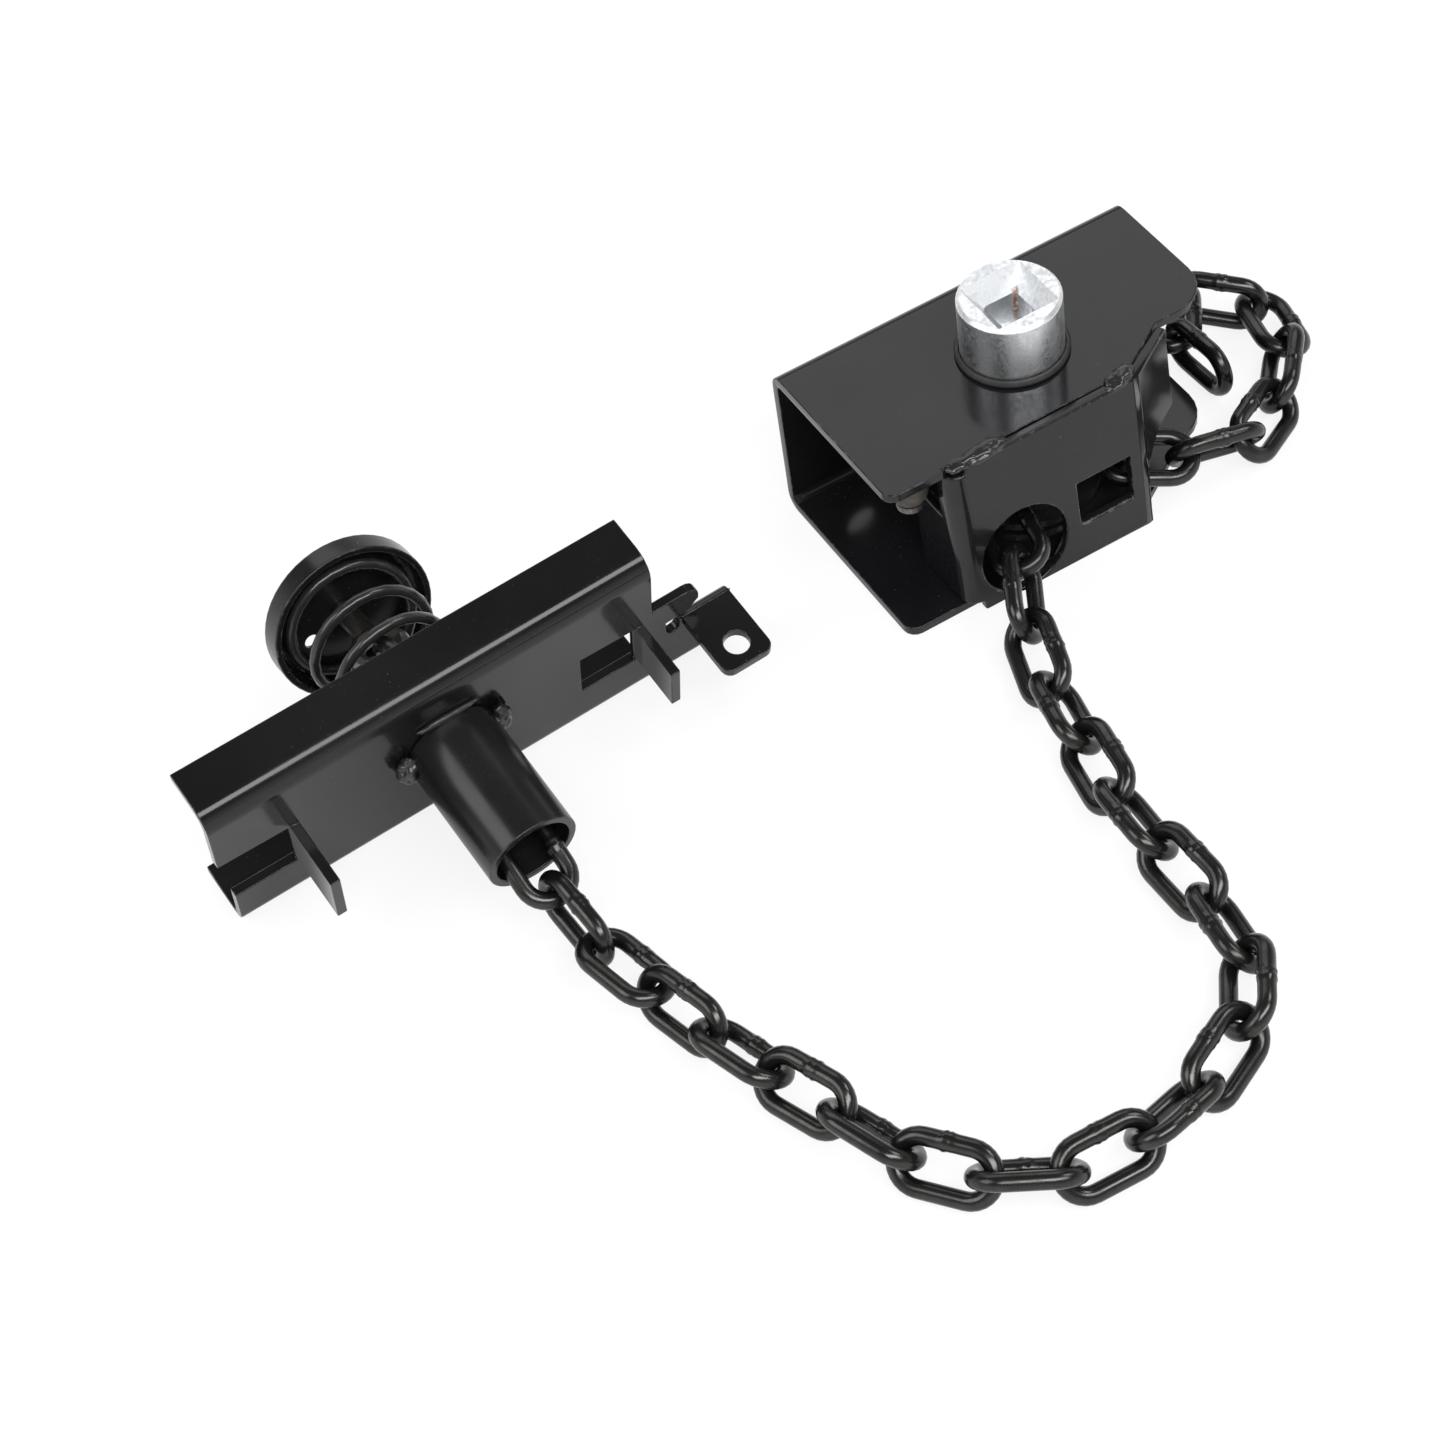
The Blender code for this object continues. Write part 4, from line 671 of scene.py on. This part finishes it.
def makeSpring():
    line = springLine()
    curve = bpy.data.curves.new("springLine", "CURVE")
    curve.dimensions = "3D"
    curve.bevel_depth = springSet["wire"] * mm / 2
    curve.bevel_resolution = springSet["wireRound"]
    curve.use_fill_caps = True
    spline = curve.splines.new("POLY")
    spline.points.add(len(line) - 1)
    for point, place in zip(spline.points, line):
        point.co = (*place, 1)
    holder = bpy.data.objects.new("springLine", curve)
    scene.collection.objects.link(holder)
    bpy.context.view_layer.update()
    ready = bpy.context.evaluated_depsgraph_get()
    mesh = bpy.data.meshes.new_from_object(holder.evaluated_get(ready))
    bpy.data.objects.remove(holder)
    shape = bmesh.new()
    shape.from_mesh(mesh)
    bmesh.ops.remove_doubles(shape, verts=shape.verts, dist=edgeSet["weld"] * mm)
    spring = closeShape(shape, "spring_coil", springPaint, "spring_anchor", ["spring"])
    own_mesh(spring)


makeSpring()
print("spring wound")


# stage: white floor, soft lights
stageSet = {
    "aim": (-0.1, -0.08, 0.0),
    "floorSize": 8.0,
    "floorDrop": 0.25,
    "floorColour": (0.86, 0.86, 0.86, 1),
    "floorLift": 0.84,
    "floorGlow": 0.35,
    "worldLight": 0.5,
    "dimming": (0.05, 0.55, 1.0, 0.16),
    "lamps": {
        "overBack": {"place": (0.28, 1.05, 1.15), "size": (1.5, 0.8), "power": 5.5},
        "overLeft": {"place": (-1.15, 0.05, 0.95), "size": (0.8, 0.8), "power": 7.0},
        "overRight": {"place": (0.9, -0.3, 1.3), "size": (0.5, 0.5), "power": 5.0},
        "frontStrip": {"place": (-0.10, -1.05, 1.30), "size": (1.6, 0.5), "power": 24.0},
    },
}


def makeFloor():
    shape = bmesh.new()
    bmesh.ops.create_grid(shape, x_segments=1, y_segments=1, size=stageSet["floorSize"] / 2)
    bmesh.ops.translate(shape, verts=shape.verts, vec=(0, 0, -stageSet["floorDrop"] * mm))
    mesh = bpy.data.meshes.new("floor")
    shape.to_mesh(mesh)
    shape.free()
    floor = bpy.data.objects.new("floor", mesh)
    scene.collection.objects.link(floor)
    white = bpy.data.materials.new("whiteFloor")
    white.use_nodes = True
    tree = white.node_tree
    tree.nodes.clear()
    path = tree.nodes.new("ShaderNodeLightPath")
    seen = mathNode(tree, "MULTIPLY", path.outputs["Is Camera Ray"], stageSet["floorLift"])
    mirrored = mathNode(tree, "MULTIPLY", path.outputs["Is Glossy Ray"], stageSet["floorGlow"])
    seen = mathNode(tree, "ADD", seen, path.outputs["Is Transmission Ray"])
    share = mathNode(tree, "ADD", seen, mirrored, True)
    matte = addNode(tree, "ShaderNodeBsdfDiffuse", Color=stageSet["floorColour"])
    glow = addNode(tree, "ShaderNodeEmission", Color=(1, 1, 1, 1), Strength=1.0)
    mix = tree.nodes.new("ShaderNodeMixShader")
    tree.links.new(share, mix.inputs[0])
    tree.links.new(matte.outputs[0], mix.inputs[1])
    tree.links.new(glow.outputs[0], mix.inputs[2])
    out = tree.nodes.new("ShaderNodeOutputMaterial")
    tree.links.new(mix.outputs[0], out.inputs["Surface"])
    mesh.materials.append(white)


def makeWorld():
    world = bpy.data.worlds.new("studio")
    scene.world = world
    world.use_nodes = True
    tree = world.node_tree
    tree.nodes.clear()
    path = tree.nodes.new("ShaderNodeLightPath")
    seen = mathNode(tree, "ADD", path.outputs["Is Camera Ray"], path.outputs["Is Glossy Ray"])
    seen = mathNode(tree, "ADD", seen, path.outputs["Is Transmission Ray"], True)
    soft = addNode(tree, "ShaderNodeBackground", Color=(1, 1, 1, 1), Strength=stageSet["worldLight"])
    back = addNode(tree, "ShaderNodeBackground", Color=(1, 1, 1, 1), Strength=1.0)
    way = tree.nodes.new("ShaderNodeNewGeometry")
    split = tree.nodes.new("ShaderNodeSeparateXYZ")
    tree.links.new(way.outputs["Position"], split.inputs[0])
    dim = ramp(tree, split.outputs["Z"], *stageSet["dimming"])
    bright = mathNode(tree, "MAXIMUM", dim, path.outputs["Is Camera Ray"])
    tree.links.new(bright, back.inputs["Strength"])
    mix = tree.nodes.new("ShaderNodeMixShader")
    tree.links.new(seen, mix.inputs[0])
    tree.links.new(soft.outputs[0], mix.inputs[1])
    tree.links.new(back.outputs[0], mix.inputs[2])
    out = tree.nodes.new("ShaderNodeOutputWorld")
    tree.links.new(mix.outputs[0], out.inputs["Surface"])


def makeLamps():
    aim = Vector(stageSet["aim"])
    for name, kind in stageSet["lamps"].items():
        lampData = bpy.data.lights.new(name, "AREA")
        lampData.shape = "RECTANGLE"
        lampData.size, lampData.size_y = kind["size"]
        lampData.energy = kind["power"]
        lamp = bpy.data.objects.new(name, lampData)
        lamp.location = kind["place"]
        lamp.rotation_mode = "QUATERNION"
        lamp.rotation_quaternion = (aim - Vector(kind["place"])).to_track_quat("-Z", "Y")
        scene.collection.objects.link(lamp)


makeFloor()
makeWorld()
makeLamps()
print("stage lit")


# CAD nodes that stay get their finishes
keptSet = {
    "eccentric_shaft": innerSteel, "retaining_clip": innerSteel,
    "chain_wheel": innerSteel, "ring_gear": innerSteel, "cycloid_gear": innerSteel,
    "anchor_plate": innerSteel, "anchor_eye": innerSteel, "buffer_rivet": innerSteel,
    "shaft_bush": bearingBronze, "floor_bush": bearingBronze,
}
for name, finish in keptSet.items():
    mesh = nodes[name].data
    mesh.materials.clear()
    mesh.materials.append(finish)
print("kept nodes finished")
